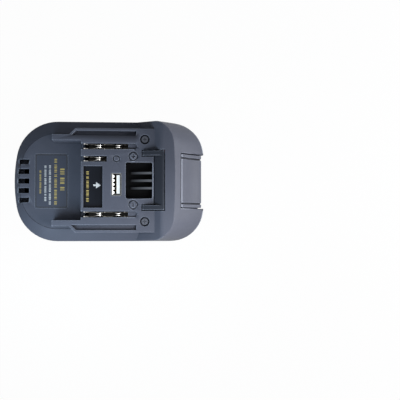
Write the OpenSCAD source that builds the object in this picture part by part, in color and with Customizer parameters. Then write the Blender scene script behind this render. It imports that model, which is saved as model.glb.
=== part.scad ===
// Battery adapter for slide-on tool packs: a tool rail on top, a battery bay below.
// X runs from the rear, which enters the tool first, to the front with the button.
// Z = 0 is the surface that the lower rim stands on.

/* [Body] */
// Length from the rear edge to the front edge
body_l = 115; // [112:1:124]
// Width across the straight sides
body_w = 72.8; // [72:0.2:78]
// Height of the lower housing
lower_h = 25.5; // [25:0.5:30]
// Thickness of the shell walls
wall = 2.2; // [1.8:0.1:2.4]
// Radius of the rear corners in plan
rear_corner_r = 25; // [22:1:28]
// Radius of the front corners in plan
front_corner_r = 20; // [16:1:24]
// How far the rear end bows out between its corners
rear_bulge = 1; // [0.5:0.1:2]
// How far the front end bows out between its corners
front_bulge = 0.1; // [0.1:0.05:1]

/* [Deck and shoulders] */
// Height of the upright wall above the parting line
side_h = 2.5; // [2:0.1:3]
// Height of the rear deck above the parting line
deck_rise = 6; // [5.5:0.1:7]
// How far the shoulder leans in at the rear
shoulder_rear = 3; // [2:0.1:4]
// How far the shoulder leans in at the sides
shoulder_side = 7.4; // [7:0.1:8]
// Corner radius of the deck
deck_corner_r = 22; // [18:1:24]
// Number of air slots in the rear deck
vent_count = 5; // [3:2:5]
// Spacing of the air slots
vent_pitch = 5.75; // [5:0.05:6.2]
// Width of one air slot
vent_w = 3; // [2:0.1:3.2]
// Length of the middle air slot
vent_l = 6.6; // [5:0.1:7]
// Distance from the rear edge to the middle air slot
vent_setback = 2.5; // [2:0.1:3]
// Distance from the rear edge to the name plate
plate_setback = 12.7; // [11:0.1:14]
// Length of the name plate, along the rail
plate_l = 19.4; // [16:0.1:20]
// Width of the name plate
plate_w = 32.6; // [28:0.1:36]
// Thickness of the name plate
plate_t = 0.4; // [0.3:0.05:0.6]

/* [Tool rail] */
// Height of the plateau above the deck
plateau_rise = 11.5; // [11:0.1:13]
// Width of the rail web, under the flanges
web_w = 54.6; // [54:0.1:56]
// Width across the rail flanges
flange_w = 62; // [61:0.1:64]
// Thickness of the flanges
flange_t = 4.5; // [4:0.1:5]
// How far the flanges start ahead of the plateau
flange_lead = 3.3; // [2:0.1:5]
// Length of the rails ahead of the plateau
rail_lead_l = 17; // [12:0.1:18]
// Width of one rail ahead of the plateau
rail_lead_w = 3.7; // [3:0.1:4.5]
// Width of the groove in the top of a rail
rail_groove_w = 2.8; // [2:0.1:3]
// Depth of the groove in the top of a rail
rail_groove_d = 2.8; // [1.5:0.1:3]
// How far the middle of the groove lies outside the web
rail_groove_shift = 0.7; // [0.4:0.1:1]
// Distance from the slanted end of a flange to the groove
rail_groove_wall = 2.2; // [1.6:0.1:3]
// Distance from the groove to the wide block of the plateau
rail_groove_gap = 0.5; // [0.3:0.1:1]
// How far the wide block starts ahead of the foot of the nose
block_lead = 2; // [1:0.1:3]

/* [Nose] */
// Height of the crest above the plateau
nose_rise = 6; // [5.5:0.1:7]
// Distance from the front edge back to the crest
crest_run = 18.7; // [18.2:0.1:19.6]
// Distance from the crest back to the foot of the nose
nose_l = 20.5; // [20:0.1:21.5]
// Length of the flat top of the nose
nose_top_l = 8.3; // [7.7:0.1:9]
// Fall of the flat top towards the rear
nose_top_fall = 1; // [0.5:0.1:1.5]
// Radius of the edge between the back and the top of the nose
nose_back_r = 3.4; // [2:0.1:4]
// How far each side of the nose leans in
nose_draft = 1.1; // [0.6:0.1:2]
// How far the crest bows out between its corners
crest_bulge = 0.8; // [0.3:0.1:1.2]
// Corner radius of the crest in plan
crest_corner_r = 14; // [12:1:18]

/* [Tool contacts] */
// Distance of the power slots from the middle
power_y = 20.2; // [20:0.1:20.6]
// Width of a power slot
power_slot_w = 3.4; // [3.2:0.1:3.6]
// Length of the shallow round end of a power slot
power_stop_l = 5.3; // [4:0.1:6]
// Depth of the shallow round end of a power slot
power_stop_d = 1.2; // [0.8:0.1:1.6]
// Distance of the signal slot from the middle
signal_y = 12.8; // [12.6:0.1:13]
// Width of the signal slot
signal_slot_w = 3.2; // [3:0.1:3.4]
// Length of the signal slot
signal_slot_l = 15.2; // [14:0.1:15.4]
// Thickness of the contact sheet metal
leaf_t = 0.5; // [0.4:0.05:0.6]
// Opening between the leaves at a pinch
leaf_pinch = 0.5; // [0.3:0.1:0.8]
// Gap between a leaf and the wall of its slot
leaf_gap = 0.1; // [0.05:0.05:0.2]
// Depth of the leaves below the plateau
leaf_sink = 0.8; // [0.5:0.1:1.5]
// Distance from the leading wall to the first pinch of a power clip
power_pinch_1 = 10.7; // [9.8:0.1:11.8]
// Distance from the leading wall to the second pinch of a power clip
power_pinch_2 = 22; // [20.8:0.1:23.9]
// Distance from the leading wall to the pinch of the signal clip
signal_pinch = 10.4; // [8.8:0.1:10.8]
// Half the length of a pinch
pinch_reach = 4; // [3:0.1:4]
// Length of the soldering tail of a clip
clip_tail_l = 3.5; // [3:0.1:4]
// Height of the soldering lug of a clip
clip_lug_h = 3; // [2.6:0.1:4]
// Height of the power clips above the parting line
clip_rise = 4.5; // [4:0.1:6]
// Distance from the end of a holder to its clip
clip_inset = 1; // [0.6:0.1:1.5]
// Thickness of the floor of the signal clip holder
signal_floor_t = 1; // [0.8:0.1:2]
// Gap between the leading wall and a clip holder
holder_lead = 0.9; // [0.5:0.1:1.2]
// Thickness of the sides of a clip holder
holder_side = 1.1; // [0.9:0.1:1.2]

/* [USB socket] */
// Width of the socket shell, across the rail
usb_w = 13.2; // [12.8:0.1:13.8]
// Thickness of the socket shell, along the rail
usb_t = 5.8; // [5.4:0.1:6.4]
// Distance of the socket from the middle
usb_y = -2.4; // [-3:0.1:-2]
// Distance from the socket to the grille
usb_gap = 2.5; // [2:0.1:3]
// Distance from the plate pocket to the socket
usb_step = 5.4; // [4.8:0.1:5.5]
// Thickness of the sheet of the socket shell
usb_wall = 0.4; // [0.3:0.05:0.5]
// Depth of the rim of the socket below the plateau
usb_sink = 0.3; // [0:0.1:0.6]
// Thickness of the floor of the socket
usb_floor_t = 1; // [0.8:0.1:2]
// Width of the tongue in the socket
usb_tongue_w = 11; // [10.6:0.1:11.4]
// Thickness of the tongue in the socket
usb_tongue_t = 1.9; // [1.7:0.1:2]
// Gap between the tongue and the shell behind it
usb_tongue_gap = 0.5; // [0.3:0.1:0.6]
// Depth of the tongue below the rim of the socket
usb_tongue_sink = 0.6; // [0.5:0.1:1.5]
// Width of one contact on the tongue
usb_contact_w = 1.2; // [1:0.1:1.4]
// Thickness of one contact on the tongue
usb_contact_t = 0.25; // [0.2:0.05:0.3]
// Spacing of the contacts on the tongue
usb_contact_pitch = 2.4; // [2:0.1:2.5]
// Length of the plate beside the socket, along the rail
usb_plate_l = 11.2; // [10:0.1:11.6]
// Width of the plate beside the socket, across the rail
usb_plate_w = 24.6; // [20:0.1:24.8]
// Thickness of the plate beside the socket
usb_plate_t = 1; // [0.6:0.1:1.5]
// How far the plate lies to the side of the socket
usb_plate_shift = -1.5; // [-1.6:0.1:0]
// Depth of the pocket that holds the plate
pocket_d = 3; // [2.5:0.1:3.4]
// Gap between the leading wall and the pocket
pocket_lead = 1.5; // [1:0.1:1.6]
// Thickness of the floor of the pocket
pocket_floor_t = 2; // [1.2:0.1:2.4]

/* [Latch] */
// Travel of the latch and button
latch_travel = 6; // [5:0.1:6.4]
// Distance from the crest back to the locking face of the hook
hook_setback = 6.4; // [6.1:0.1:6.7]
// Height of the hook above the plateau
hook_h = 4.6; // [4:0.1:5]
// Length of the hook bar, along the rail
hook_l = 5.8; // [5.5:0.1:6.2]
// Length of the flat ridge of the hook
hook_ridge_l = 1.4; // [1:0.1:2]
// Height of the foot of the hook's ramp above the plateau
hook_lip_h = 0.4; // [0.2:0.1:1]
// Width across the latch arms
latch_w = 35.4; // [34:0.1:36]
// Width of one latch arm
latch_arm_w = 3; // [2.8:0.1:3.6]
// Length of the arms behind the hook bar
latch_arm_l = 7.1; // [6:0.1:7.4]
// Height of the rear end of an arm above the plateau
latch_arm_lip_h = 1.4; // [0.5:0.1:2]
// Height of the latch bridge above the deck
bridge_rise = 1.5; // [1.2:0.1:2]
// Thickness of the latch bridge
bridge_t = 3; // [2.6:0.1:3.4]
// Width of the latch bridge
bridge_w = 26; // [22:0.5:26]
// Width of the tongue that holds the button
tongue_w = 16; // [12:0.5:18]
// Thickness of the tongue that holds the button
tongue_t = 2; // [1.6:0.1:2.2]
// Thickness of the latch stops
stop_t = 2; // [1.5:0.1:2.5]
// How far the latch stops reach past the arms
stop_reach = 1.5; // [1:0.1:1.8]

/* [Button] */
// Width of the button
button_w = 32; // [28:0.5:33]
// Distance from the crest forward to the button
button_setback = 3.8; // [3.4:0.1:4.6]
// Distance from the front edge back to the edge of the button
button_inset = 1.5; // [1.4:0.1:2]
// Depth of the button's face below the nose
button_flush = 0.4; // [0.2:0.1:0.5]
// Thickness of the button panel
button_t = 2.5; // [2:0.1:2.6]
// Width of each raised edge of the button
button_edge_w = 2.8; // [2:0.1:4]
// Width of the groove inside each raised edge
button_groove_w = 0.9; // [0.6:0.1:1.2]
// Depth of that groove
button_groove_d = 1.6; // [1.2:0.1:1.7]
// Gap at the sides of the button
button_gap = 0.6; // [0.4:0.1:0.8]
// Gap between the button and the nose behind it
button_rear_gap = 0.3; // [0.2:0.1:0.6]
// Thickness of the wall behind the button panel
button_back_t = 1.8; // [1.4:0.1:1.9]
// How far that wall reaches below the latch bridge
button_back_h = 1; // [0.8:0.1:1.2]
// Depth of the hollow in the button panel
scoop_d = 0.8; // [0.6:0.1:1]
// Length of the hollow, along the slope
scoop_l = 15; // [12:0.5:17]
// Height of the apron below the sloped panel
apron_h = 8.4; // [7:0.1:8.6]
// How far the apron leans in
apron_lean = 1.1; // [0.9:0.1:1.2]

/* [Springs] */
// Wire diameter of the latch springs
spring_wire = 0.8; // [0.6:0.05:0.9]
// Middle diameter of the latch springs
spring_d = 5.4; // [5:0.1:5.6]
// Length of the latch springs at rest
spring_l = 14.5; // [13.5:0.1:15]
// Turns of a latch spring
spring_turns = 6; // [5:1:7]
// Distance of the latch springs from the middle
spring_y = 9; // [7:0.5:11]
// Height of the pegs inside the springs
spring_peg_h = 2; // [1:0.1:2.4]
// Gap between a peg and its spring
spring_peg_gap = 0.5; // [0.3:0.1:0.8]

/* [Grille] */
// Length of the grille opening, along the rail
grille_l = 15.9; // [15:0.1:16.2]
// Width of the grille opening
grille_w = 21.6; // [20:0.1:22]
// Corner radius of the grille opening
grille_corner_r = 1; // [0.6:0.1:1.6]
// Depth of the grille tray
grille_depth = 6.5; // [5.5:0.1:6.6]
// Thickness of the walls of the grille tray
grille_wall = 0.7; // [0.6:0.1:0.8]
// Width of the plateau between the grille and the latch
grille_web = 0.8; // [0.8:0.1:1.2]
// Number of bars in the grille
bar_count = 3; // [2:1:4]
// Width of one bar
bar_w = 1.3; // [1:0.1:1.8]
// Spacing of the bars
bar_pitch = 4.55; // [4:0.05:4.8]
// Distance from the edge of the opening to the bars
bar_lead = 3; // [2:0.1:5]
// Height of a bar at its low end
bar_low_h = 3.6; // [2:0.1:4]
// Depth of a bar below the plateau at its high end
bar_sink = 0.8; // [0.4:0.1:1.5]

/* [Signs] */
// Depth of the signs sunk into the plateau
mark_d = 0.6; // [0.3:0.05:0.8]
// Width of the lines of a sign
mark_w = 0.6; // [0.4:0.1:0.7]
// Radius of the ring around a polarity sign
mark_r = 2.8; // [2.4:0.1:2.8]
// Radius of the small ring beside the signal slot
small_mark_r = 2.1; // [1.6:0.1:2.4]
// Distance from the edge of the grille to the polarity signs
mark_lead = 4.5; // [4:0.1:5]
// Distance of the polarity signs from the middle
mark_y = 14.4; // [14.2:0.1:14.8]

/* [Battery bay] */
// Width of the bay above the lips
bay_w = 63; // [61:0.5:64]
// Width between the lips
mouth_w = 53; // [50:0.5:55]
// Height of the lips
lip_h = 6.5; // [5:0.1:7]
// Distance from the front edge to the front wall of the bay
bay_front = 14.5; // [14.5:0.1:15.5]
// How far the rear plate hangs over behind the bay
rear_overhang = 24.5; // [22:0.5:26]
// Thickness of the plate between the bay and the works
ceiling_t = 2.7; // [2.4:0.1:3.2]
// How far the front leans in towards the bottom
front_taper = 4.6; // [3:0.1:4.8]
// How far each side leans in towards the bottom
side_taper = 1; // [0.5:0.1:1.4]
// Radius of the bottom edge
bottom_r = 4; // [2:0.5:4]
// Thickness of the walls around the hollow front corners
core_wall = 3; // [2:0.1:4]
// Distance from the mouth of the bay to the battery catch
catch_lead = 3; // [2:0.1:5]
// Length of the battery catch
catch_l = 6; // [4:0.1:8]
// Width of the battery catch
catch_w = 18; // [14:0.5:22]
// Depth of the battery catch
catch_d = 1.5; // [1:0.1:1.8]

/* [Battery contacts] */
// Length of the terminal block, along the bay
block_l = 14; // [12:0.1:15]
// Width of the terminal block
block_w = 38; // [34:0.5:42]
// Height of the terminal block above the rim
block_clear = 8; // [7.2:0.1:10]
// Distance of the power blades from the middle
blade_y = 15; // [14.4:0.1:15.6]
// Thickness of a power blade
blade_t = 0.8; // [0.6:0.1:1]
// Height of a power blade
blade_h = 7; // [5:0.1:7.5]
// Height of the lower edge of a power blade above the rim
blade_clear = 12; // [11:0.1:13]
// Length of a power blade ahead of the block
blade_reach = 13; // [10:0.1:14]
// Length of the tail of a power blade, along the bay
blade_tail_l = 4; // [3:0.1:5]
// Height of the tail above the parting line
blade_tail_rise = 3; // [2.9:0.1:3.2]
// Distance from the front wall of the bay to the tail
blade_tail_inset = 5; // [4:0.1:5.4]
// Spacing of the signal blades
signal_blade_pitch = 7; // [5:0.1:7]
// Thickness of a signal blade
signal_blade_t = 0.6; // [0.4:0.1:0.8]
// Height of a signal blade
signal_blade_h = 3; // [2:0.1:4]
// Height of the lower edge of a signal blade above the rim
signal_blade_clear = 14; // [13:0.1:15]
// Length of a signal blade ahead of the block
signal_blade_reach = 9; // [7:0.1:11]
// Length of a signal blade inside the block
signal_blade_hold = 7; // [5:0.1:9]
// Radius of the pegs on the terminal block
block_peg_r = 2; // [1.5:0.1:2.5]
// Distance of the pegs from the middle
block_peg_y = 8; // [5:0.1:10]
// Distance from the front wall of the bay to the pegs
block_peg_inset = 4; // [3.5:0.1:6]

/* [Leads] */
// Radius of a lead
lead_r = 1.1; // [0.8:0.1:1.1]
// Height of a lead above the parting line
lead_rise = 1.7; // [1.4:0.1:1.8]
// Distance of the straight run of a lead from the middle
lead_y = 19.5; // [19.3:0.1:19.6]

/* [Circuit board] */
// Length of the board
board_l = 29.5; // [28:0.1:31]
// Width of the board
board_w = 33.6; // [32:0.1:33.8]
// Thickness of the board
board_t = 1.6; // [1:0.1:1.6]
// Height of the board above the parting line
board_rise = 2.7; // [2.2:0.1:2.9]
// Gap between the leading wall and the board
board_lead = 1.9; // [1.5:0.1:2.5]
// Distance of the stands from the edges of the board
board_inset = 3; // [2.5:0.1:4]
// Radius of the stands under the board
stand_r = 2.2; // [1.8:0.1:2.4]
// Radius of the pegs on the stands
stand_peg_r = 1; // [0.8:0.1:1.2]
// Radius of the inductor
coil_r = 4; // [3:0.1:4.2]
// Height of the inductor
coil_h = 5; // [3:0.1:6]
// Distance from the end of the board to the middle of the inductor
coil_lead = 5.5; // [5:0.1:6]
// Distance of the inductor from the middle
coil_y = -9; // [-9.6:0.1:-8.4]
// Radius of a capacitor
capacitor_r = 2.2; // [1.6:0.1:2.3]
// Height of a capacitor
capacitor_h = 7; // [4:0.1:7.4]
// Distance from the end of the board to the capacitors
capacitor_lead = 4; // [3:0.1:5]
// Distance of the first capacitor from the middle
capacitor_y = -1.5; // [-1.8:0.1:0]
// Spacing of the capacitors
capacitor_pitch = 5.5; // [5:0.1:6]
// Distance from the end of the board to the regulator chip and the diode
chip_lead = 21.5; // [20:0.1:23]
// Distance of the regulator chip and the diode from the middle
chip_y = 8; // [5:0.1:9]
// Length of the regulator chip
chip_l = 5; // [4:0.1:6]
// Width of the regulator chip
chip_w = 6; // [4:0.1:6]
// Height of the regulator chip
chip_h = 1.6; // [1:0.1:2]
// Length of the diode
diode_l = 4.5; // [3:0.1:5]
// Width of the diode
diode_w = 2.6; // [2:0.1:3]
// Height of the diode
diode_h = 2.2; // [1.5:0.1:2.4]

/* [Fasteners] */
// Radius of a screw head
head_r = 2.3; // [2.1:0.1:2.4]
// Gap around a screw head in its hole
head_gap = 0.5; // [0.3:0.05:0.5]
// Height of a screw head
head_h = 1.3; // [1:0.1:1.4]
// Radius of a screw shank
shank_r = 1.4; // [1.2:0.1:1.5]
// Depth of the top screws below the plateau
screw_sink = 0.5; // [0.3:0.1:0.6]
// Length of the cross in a screw head
cross_l = 2.2; // [1.8:0.1:2.6]
// Width of the cross in a screw head
cross_w = 0.6; // [0.5:0.1:0.7]
// Depth of the cross in a screw head
cross_d = 0.8; // [0.5:0.1:0.9]
// Gap between the end of a screw and the end of its hole
screw_end_gap = 0.6; // [0.4:0.1:1]
// Distance from the foot of the nose to the top screws
screw_lead = 2.6; // [2.2:0.1:3]
// Distance of the top screws from the middle
screw_y = 24.5; // [24.3:0.1:24.8]
// Radius of the bosses under the plateau
boss_r = 4; // [3.7:0.1:4.4]
// Radius of the posts that take the top screws
post_r = 3.6; // [3:0.1:3.6]
// Height of the posts above the deck
post_rise = 2.5; // [2:0.1:4]
// Distance from the rear edge to the rear screws
rear_screw_setback = 13.5; // [13:0.1:15]
// Distance of the rear screws from the middle
rear_screw_y = 21; // [20:0.1:21.4]
// Radius of the bosses under the deck
rear_boss_r = 3.5; // [3:0.1:4]
// Gap between pieces that fit together
fit_gap = 0.15; // [0.1:0.05:0.2]
// Gap around pieces that slide
slide_gap = 0.4; // [0.3:0.05:0.5]

/* [Hidden] */
$fn = 48;

// Colours
housing_colour = [0.28, 0.31, 0.36];
black_plastic = [0.06, 0.06, 0.07];
bright_metal = [0.78, 0.78, 0.76];

// Cutting bodies run past the face that they cut by this much
past = 1;

// Curve steps of the lofted shells
end_steps = 4;
corner_steps = 12;
round_steps = 5;

// Levels
split_z = lower_h;
ceiling_z = split_z - ceiling_t;
side_z = split_z + side_h;
deck_z = split_z + deck_rise;
plateau_z = deck_z + plateau_rise;
under_z = plateau_z - wall;
crest_z = plateau_z + nose_rise;

// Body, nose and rail
half_w = body_w / 2;
rear_x = -body_l / 2;
front_x = body_l / 2;
crest_x = front_x - crest_run;
foot_x = crest_x - nose_l;
nose_top_x = crest_x - nose_top_l;
nose_top_z = crest_z - nose_top_fall;
back_run = (nose_top_x - foot_x) / (nose_top_z - deck_z);
front_rise = (crest_z - split_z) / crest_run;
slope_k = sqrt(1 + front_rise * front_rise);
wide_x = foot_x - block_lead;
flange_z = plateau_z - flange_t;
flange_reach = (flange_w - web_w) / 2;
plate_x = rear_x + plate_setback;

// Places along the plateau, from the latch back to the leading wall
hook_x1 = crest_x - hook_setback;
hook_x0 = hook_x1 - hook_l;
grille_x1 = hook_x0 - slide_gap - grille_web;
grille_x0 = grille_x1 - grille_l;
usb_x = grille_x0 - usb_gap - usb_t / 2;
pocket_x1 = usb_x - usb_t / 2 - usb_step;
pocket_x0 = pocket_x1 - usb_plate_l;
plateau_x = pocket_x0 - pocket_lead;
flange_x = plateau_x - flange_lead;

// Latch and button
hook_z = plateau_z + hook_h;
arm_x = hook_x0 - latch_arm_l;
stop_z = under_z - fit_gap;
bridge_z = deck_z + bridge_rise;
tongue_z = bridge_z + (bridge_t - tongue_t) / 2;
button_x0 = crest_x + button_setback;
button_x1 = front_x - button_inset;
button_drop = button_t * slope_k;
apron_z = front_slope(button_x1) - apron_h;

// Bay, well and springs
bay_x1 = front_x - bay_front;
lower_rear_x = rear_x + rear_overhang;
well_x = bay_x1 + wall;
well_z = apron_z - latch_travel - slide_gap;
well_half_w = button_w / 2 + button_gap;
spring_outer_r = (spring_d + spring_wire) / 2;
spring_peg_r = (spring_d - spring_wire) / 2 - spring_peg_gap;
spring_x = well_x + slide_gap + spring_outer_r;
spring_seat_z = well_z + spring_l;

// Grille, plates and socket
grille_z = under_z - grille_depth;
mark_x = grille_x0 + mark_lead;
pocket_y = usb_y + usb_plate_shift;
pocket_z = plateau_z - pocket_d;
pocket_under_z = pocket_z - pocket_floor_t;
usb_rim_z = plateau_z - usb_sink;
usb_tongue_x = usb_x + usb_t / 2 - usb_wall - usb_tongue_gap - usb_tongue_t;
usb_tongue_z = usb_rim_z - usb_tongue_sink;

// Circuit board
board_x = plateau_x + wall + board_lead;
board_z = split_z + board_rise;
board_top = board_z + board_t;
usb_floor_z = board_top + usb_floor_t;
chip_x = board_x + chip_lead;

// Tool contacts
holder_x0 = plateau_x + wall + holder_lead;
holder_x1 = wide_x - power_stop_l;
clip_x0 = holder_x0 + clip_inset;
clip_z = split_z + clip_rise;
leaf_z = plateau_z - leaf_sink;
signal_x1 = plateau_x + signal_slot_l;
signal_clip_x1 = signal_x1 - clip_inset;
signal_clip_z = board_top + signal_floor_t;
power_pinches = [plateau_x + power_pinch_1, plateau_x + power_pinch_2];
signal_pinches = [plateau_x + signal_pinch];

// Battery contacts
block_x = bay_x1 - block_l;
block_peg_x = bay_x1 - block_peg_inset;
tail_x1 = bay_x1 - blade_tail_inset;
tail_x0 = tail_x1 - blade_tail_l;
signal_blade_rows = [-signal_blade_pitch, 0, signal_blade_pitch];

// Screws
screw_x = foot_x + screw_lead;
post_z = deck_z + post_rise;
pilot_z = ceiling_z + ceiling_t / 4;
rear_screw_x = rear_x + rear_screw_setback;

// Height of the front slope above the base at a place along the body
function front_slope(x) = split_z + (front_x - x) * front_rise;

// Place of the back of the nose at a height
function nose_back(z) = foot_x + back_run * (z - deck_z);

// Points along an arc in even steps
function arc(centre, r, a0, a1, steps) =
    [for (i = [0:steps]) let (a = a0 + (a1 - a0) * i / steps) centre + r * [cos(a), sin(a)]];

function tail(points) = [for (i = [1:len(points) - 1]) points[i]];
function reversed(points) = [for (i = [len(points) - 1:-1:0]) points[i]];
function flipped(points, sx, sy) = [for (p = points) [sx * p.x, sy * p.y]];
function at_z(points, z) = [for (p = points) [p.x, p.y, z]];

// Half an end of the body, from its middle to the straight side: a wide arc and a corner arc
function end_half(reach, half, r, bulge) =
    let (
        run = r + bulge,
        corner_y = half - r,
        wide_r = (run * run + corner_y * corner_y - r * r) / (2 * bulge),
        meet = atan2(corner_y, wide_r - run)
    )
    concat(
        arc([reach - wide_r, 0], wide_r, 0, meet, end_steps),
        tail(arc([reach - run, corner_y], r, meet, 90, corner_steps))
    );

// Points of the arc that rounds the corner p of a line from a over p to b
function round_corner(a, p, b, r) =
    let (
        u = unit(a - p),
        v = unit(b - p),
        half_angle = acos(u * v) / 2,
        centre = p + unit(u + v) * r / sin(half_angle),
        start = p + u * r / tan(half_angle) - centre,
        end = p + v * r / tan(half_angle) - centre
    )
    [for (i = [0:round_steps]) let (t = i / round_steps) centre + r * unit(start * (1 - t) + end * t)];

// Whole outline with a wide arc at each end, anticlockwise from the middle of the front
function outline(rear, front, half, rear_r, front_r) =
    let (
        f = end_half(front, half, front_r, front_bulge),
        b = end_half(rear, half, rear_r, rear_bulge)
    )
    concat(f, flipped(reversed(b), -1, 1), flipped(tail(b), -1, -1), flipped(reversed(tail(f)), 1, -1));

// Outline of the upright wall, and of the deck inside the shoulders
function side_ring(inset) =
    outline(-rear_x - inset, front_x - inset, half_w - inset, rear_corner_r - inset, front_corner_r - inset);
function deck_ring(inset) =
    outline(-rear_x - shoulder_rear - inset, front_x - shoulder_rear - inset,
        half_w - shoulder_side - inset, deck_corner_r - inset, crest_corner_r - inset);

// Outline of the nose at a height: its back end is square and lies behind the slanted back
function nose_ring(z, inset) =
    let (
        t = (z - split_z) / (crest_z - split_z),
        s = max(0, (z - side_z) / (crest_z - side_z)),
        half = half_w - nose_draft * s - inset,
        r = front_corner_r + (crest_corner_r - front_corner_r) * t - inset,
        reach = front_x - crest_run * t - inset * slope_k / front_rise,
        f = end_half(reach, half, r, front_bulge + (crest_bulge - front_bulge) * t),
        back = nose_back(split_z) - 2 * past
    )
    at_z(concat(f, [[back, half], [back, -half]], flipped(reversed(tail(f)), 1, -1)), z);

// Outline of the lower housing at a height, with the lean of its front and sides
function lower_ring(z, inset) =
    let (
        t = 1 - z / split_z,
        half = half_w - side_taper * t - inset,
        f = end_half(front_x - front_taper * t - inset, half, front_corner_r - inset, front_bulge)
    )
    at_z(concat(f, [[lower_rear_x, half], [lower_rear_x, -half]], flipped(reversed(tail(f)), 1, -1)), z);

// Solid through rings of equally many points, first ring lowest, each anticlockwise from above
module loft(rings) {
    n = len(rings[0]);
    last = len(rings) - 1;
    points = [for (ring = rings) each ring];
    walls = [for (k = [0:last - 1], i = [0:n - 1])
        let (j = (i + 1) % n, a = k * n, b = a + n)
        each [[a + i, b + i, b + j], [a + i, b + j, a + j]]];
    floor_cap = [for (i = [1:n - 2]) [0, i, i + 1]];
    top_cap = [for (i = [1:n - 2]) [last * n, last * n + i + 1, last * n + i]];
    polyhedron(points, concat(floor_cap, walls, top_cap));
}

function unit(v) = v / norm(v);

// Rings of a round tube along a path; each sideways vector fixes how its ring is turned
function tube_rings(path, sideways, r, sides) =
    [for (i = [0:len(path) - 1])
        let (
            t = unit(path[min(i + 1, len(path) - 1)] - path[max(i - 1, 0)]),
            u = unit(sideways[i] - (sideways[i] * t) * t),
            v = cross(t, u)
        )
        [for (k = [0:sides - 1]) path[i] + r * (cos(360 * k / sides) * u + sin(360 * k / sides) * v)]];

module box(x0, x1, y0, y1, z0, z1) {
    translate([x0, y0, z0]) cube([x1 - x0, y1 - y0, z1 - z0]);
}

// Box that is centred on a line along the body
module mid_box(x0, x1, y, w, z0, z1) {
    box(x0, x1, y - w / 2, y + w / 2, z0, z1);
}

// The same with round upright edges
module round_box(x0, x1, y, w, r, z0, z1) {
    mid_box(x0 + r, x1 - r, y, w, z0, z1);
    mid_box(x0, x1, y, w - 2 * r, z0, z1);
    for (x = [x0 + r, x1 - r], side = [1, -1])
        translate([x, y + side * (w / 2 - r), z0]) cylinder(r = r, h = z1 - z0);
}

// Side profile drawn in X and Z, made solid across the body
module across(w) {
    rotate([90, 0, 0]) translate([0, 0, -w / 2]) linear_extrude(w) children();
}

module both_sides() {
    children();
    mirror([0, 1, 0]) children();
}

module nose_profile() {
    back = [nose_back(split_z - past), split_z - past];
    crest = [crest_x, crest_z];
    across(body_w + 2 * past) polygon(concat(
        [back],
        round_corner(back, [nose_top_x, nose_top_z], crest, nose_back_r),
        [crest, [front_x + past, crest_z + past], [front_x + past, split_z - past]]
    ));
}

module behind_nose() {
    box(rear_x - past, foot_x + past, -half_w - past, half_w + past, split_z - 2 * past, plateau_z);
}

// Outside of the top shell, before anything is cut
module shell_body() {
    intersection() {
        loft([at_z(side_ring(0), split_z), at_z(side_ring(0), side_z), at_z(deck_ring(0), deck_z)]);
        behind_nose();
    }
    intersection() {
        loft([for (z = [split_z, side_z, crest_z]) nose_ring(z, 0)]);
        nose_profile();
    }
    mid_box(plateau_x, nose_back(plateau_z) + past, 0, web_w, side_z, plateau_z);
    mid_box(wide_x, nose_back(plateau_z) + past, 0, flange_w, side_z, plateau_z);
    both_sides() {
        mid_box(plateau_x - rail_lead_l, plateau_x + past, (web_w - rail_lead_w) / 2, rail_lead_w,
            side_z, plateau_z);
        translate([0, 0, flange_z]) linear_extrude(flange_t) polygon([
            [flange_x - flange_reach, web_w / 2 - past],
            [flange_x - flange_reach, web_w / 2],
            [flange_x, flange_w / 2],
            [wide_x + past, flange_w / 2],
            [wide_x + past, web_w / 2 - past]
        ]);
    }
}

module shell_cavity() {
    intersection() {
        loft([
            at_z(side_ring(wall), split_z - past),
            at_z(side_ring(wall), side_z - wall),
            at_z(deck_ring(wall), deck_z - wall)
        ]);
        behind_nose();
    }
    intersection() {
        loft([for (z = [split_z - past, side_z, crest_z - wall]) nose_ring(z, wall)]);
        translate([wall / 2, 0, -wall]) nose_profile();
    }
    mid_box(plateau_x + wall, nose_top_x, 0, web_w - 2 * wall, split_z - past, under_z);
}

// Block under the plateau that the pocket of the plate is sunk into
module pocket_boss() {
    mid_box(plateau_x + wall / 2, pocket_x1 + wall, pocket_y, usb_plate_w + wall,
        pocket_under_z, under_z + wall / 2);
}

module shell_bosses() {
    both_sides() {
        translate([screw_x, screw_y, post_z]) cylinder(r = boss_r, h = under_z + wall / 2 - post_z);
        translate([rear_screw_x, rear_screw_y, split_z])
            cylinder(r = rear_boss_r, h = deck_z - wall / 2 - split_z);
    }
    pocket_boss();
}

// Slot that a tool blade enters from the leading wall
module blade_slot(x1, y, w) {
    sill_z = deck_z + wall;
    mid_box(plateau_x - past, plateau_x + wall + past, y, w, sill_z, plateau_z + past);
    mid_box(plateau_x, x1, y, w, pocket_under_z - past, plateau_z + past);
}

module power_slot(y) {
    blade_slot(holder_x1, y, power_slot_w);
    translate([0, 0, plateau_z - power_stop_d]) {
        mid_box(holder_x1 - past, wide_x - power_slot_w / 2, y, power_slot_w, 0, power_stop_d + past);
        translate([wide_x - power_slot_w / 2, y, 0])
            cylinder(d = power_slot_w, h = power_stop_d + past);
    }
}

module latch_window() {
    w = latch_w + 2 * slide_gap;
    mid_box(hook_x0 - slide_gap, hook_x1 + slide_gap, 0, w, under_z - past, crest_z + past);
    both_sides() mid_box(arm_x - slide_gap, hook_x0, (latch_w - latch_arm_w) / 2,
        latch_arm_w + 2 * slide_gap, under_z - past, plateau_z + past);
}

module rail_groove() {
    y = web_w / 2 + rail_groove_shift;
    outer_y = y + rail_groove_w / 2;
    x0 = flange_x - flange_w / 2 + outer_y + rail_groove_wall;
    x1 = wide_x - rail_groove_gap;
    translate([0, 0, plateau_z - rail_groove_d]) linear_extrude(rail_groove_d + past) polygon([
        [x0 - rail_groove_w, y - rail_groove_w / 2],
        [x1, y - rail_groove_w / 2],
        [x1, y + rail_groove_w / 2],
        [x0, y + rail_groove_w / 2]
    ]);
}

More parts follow.
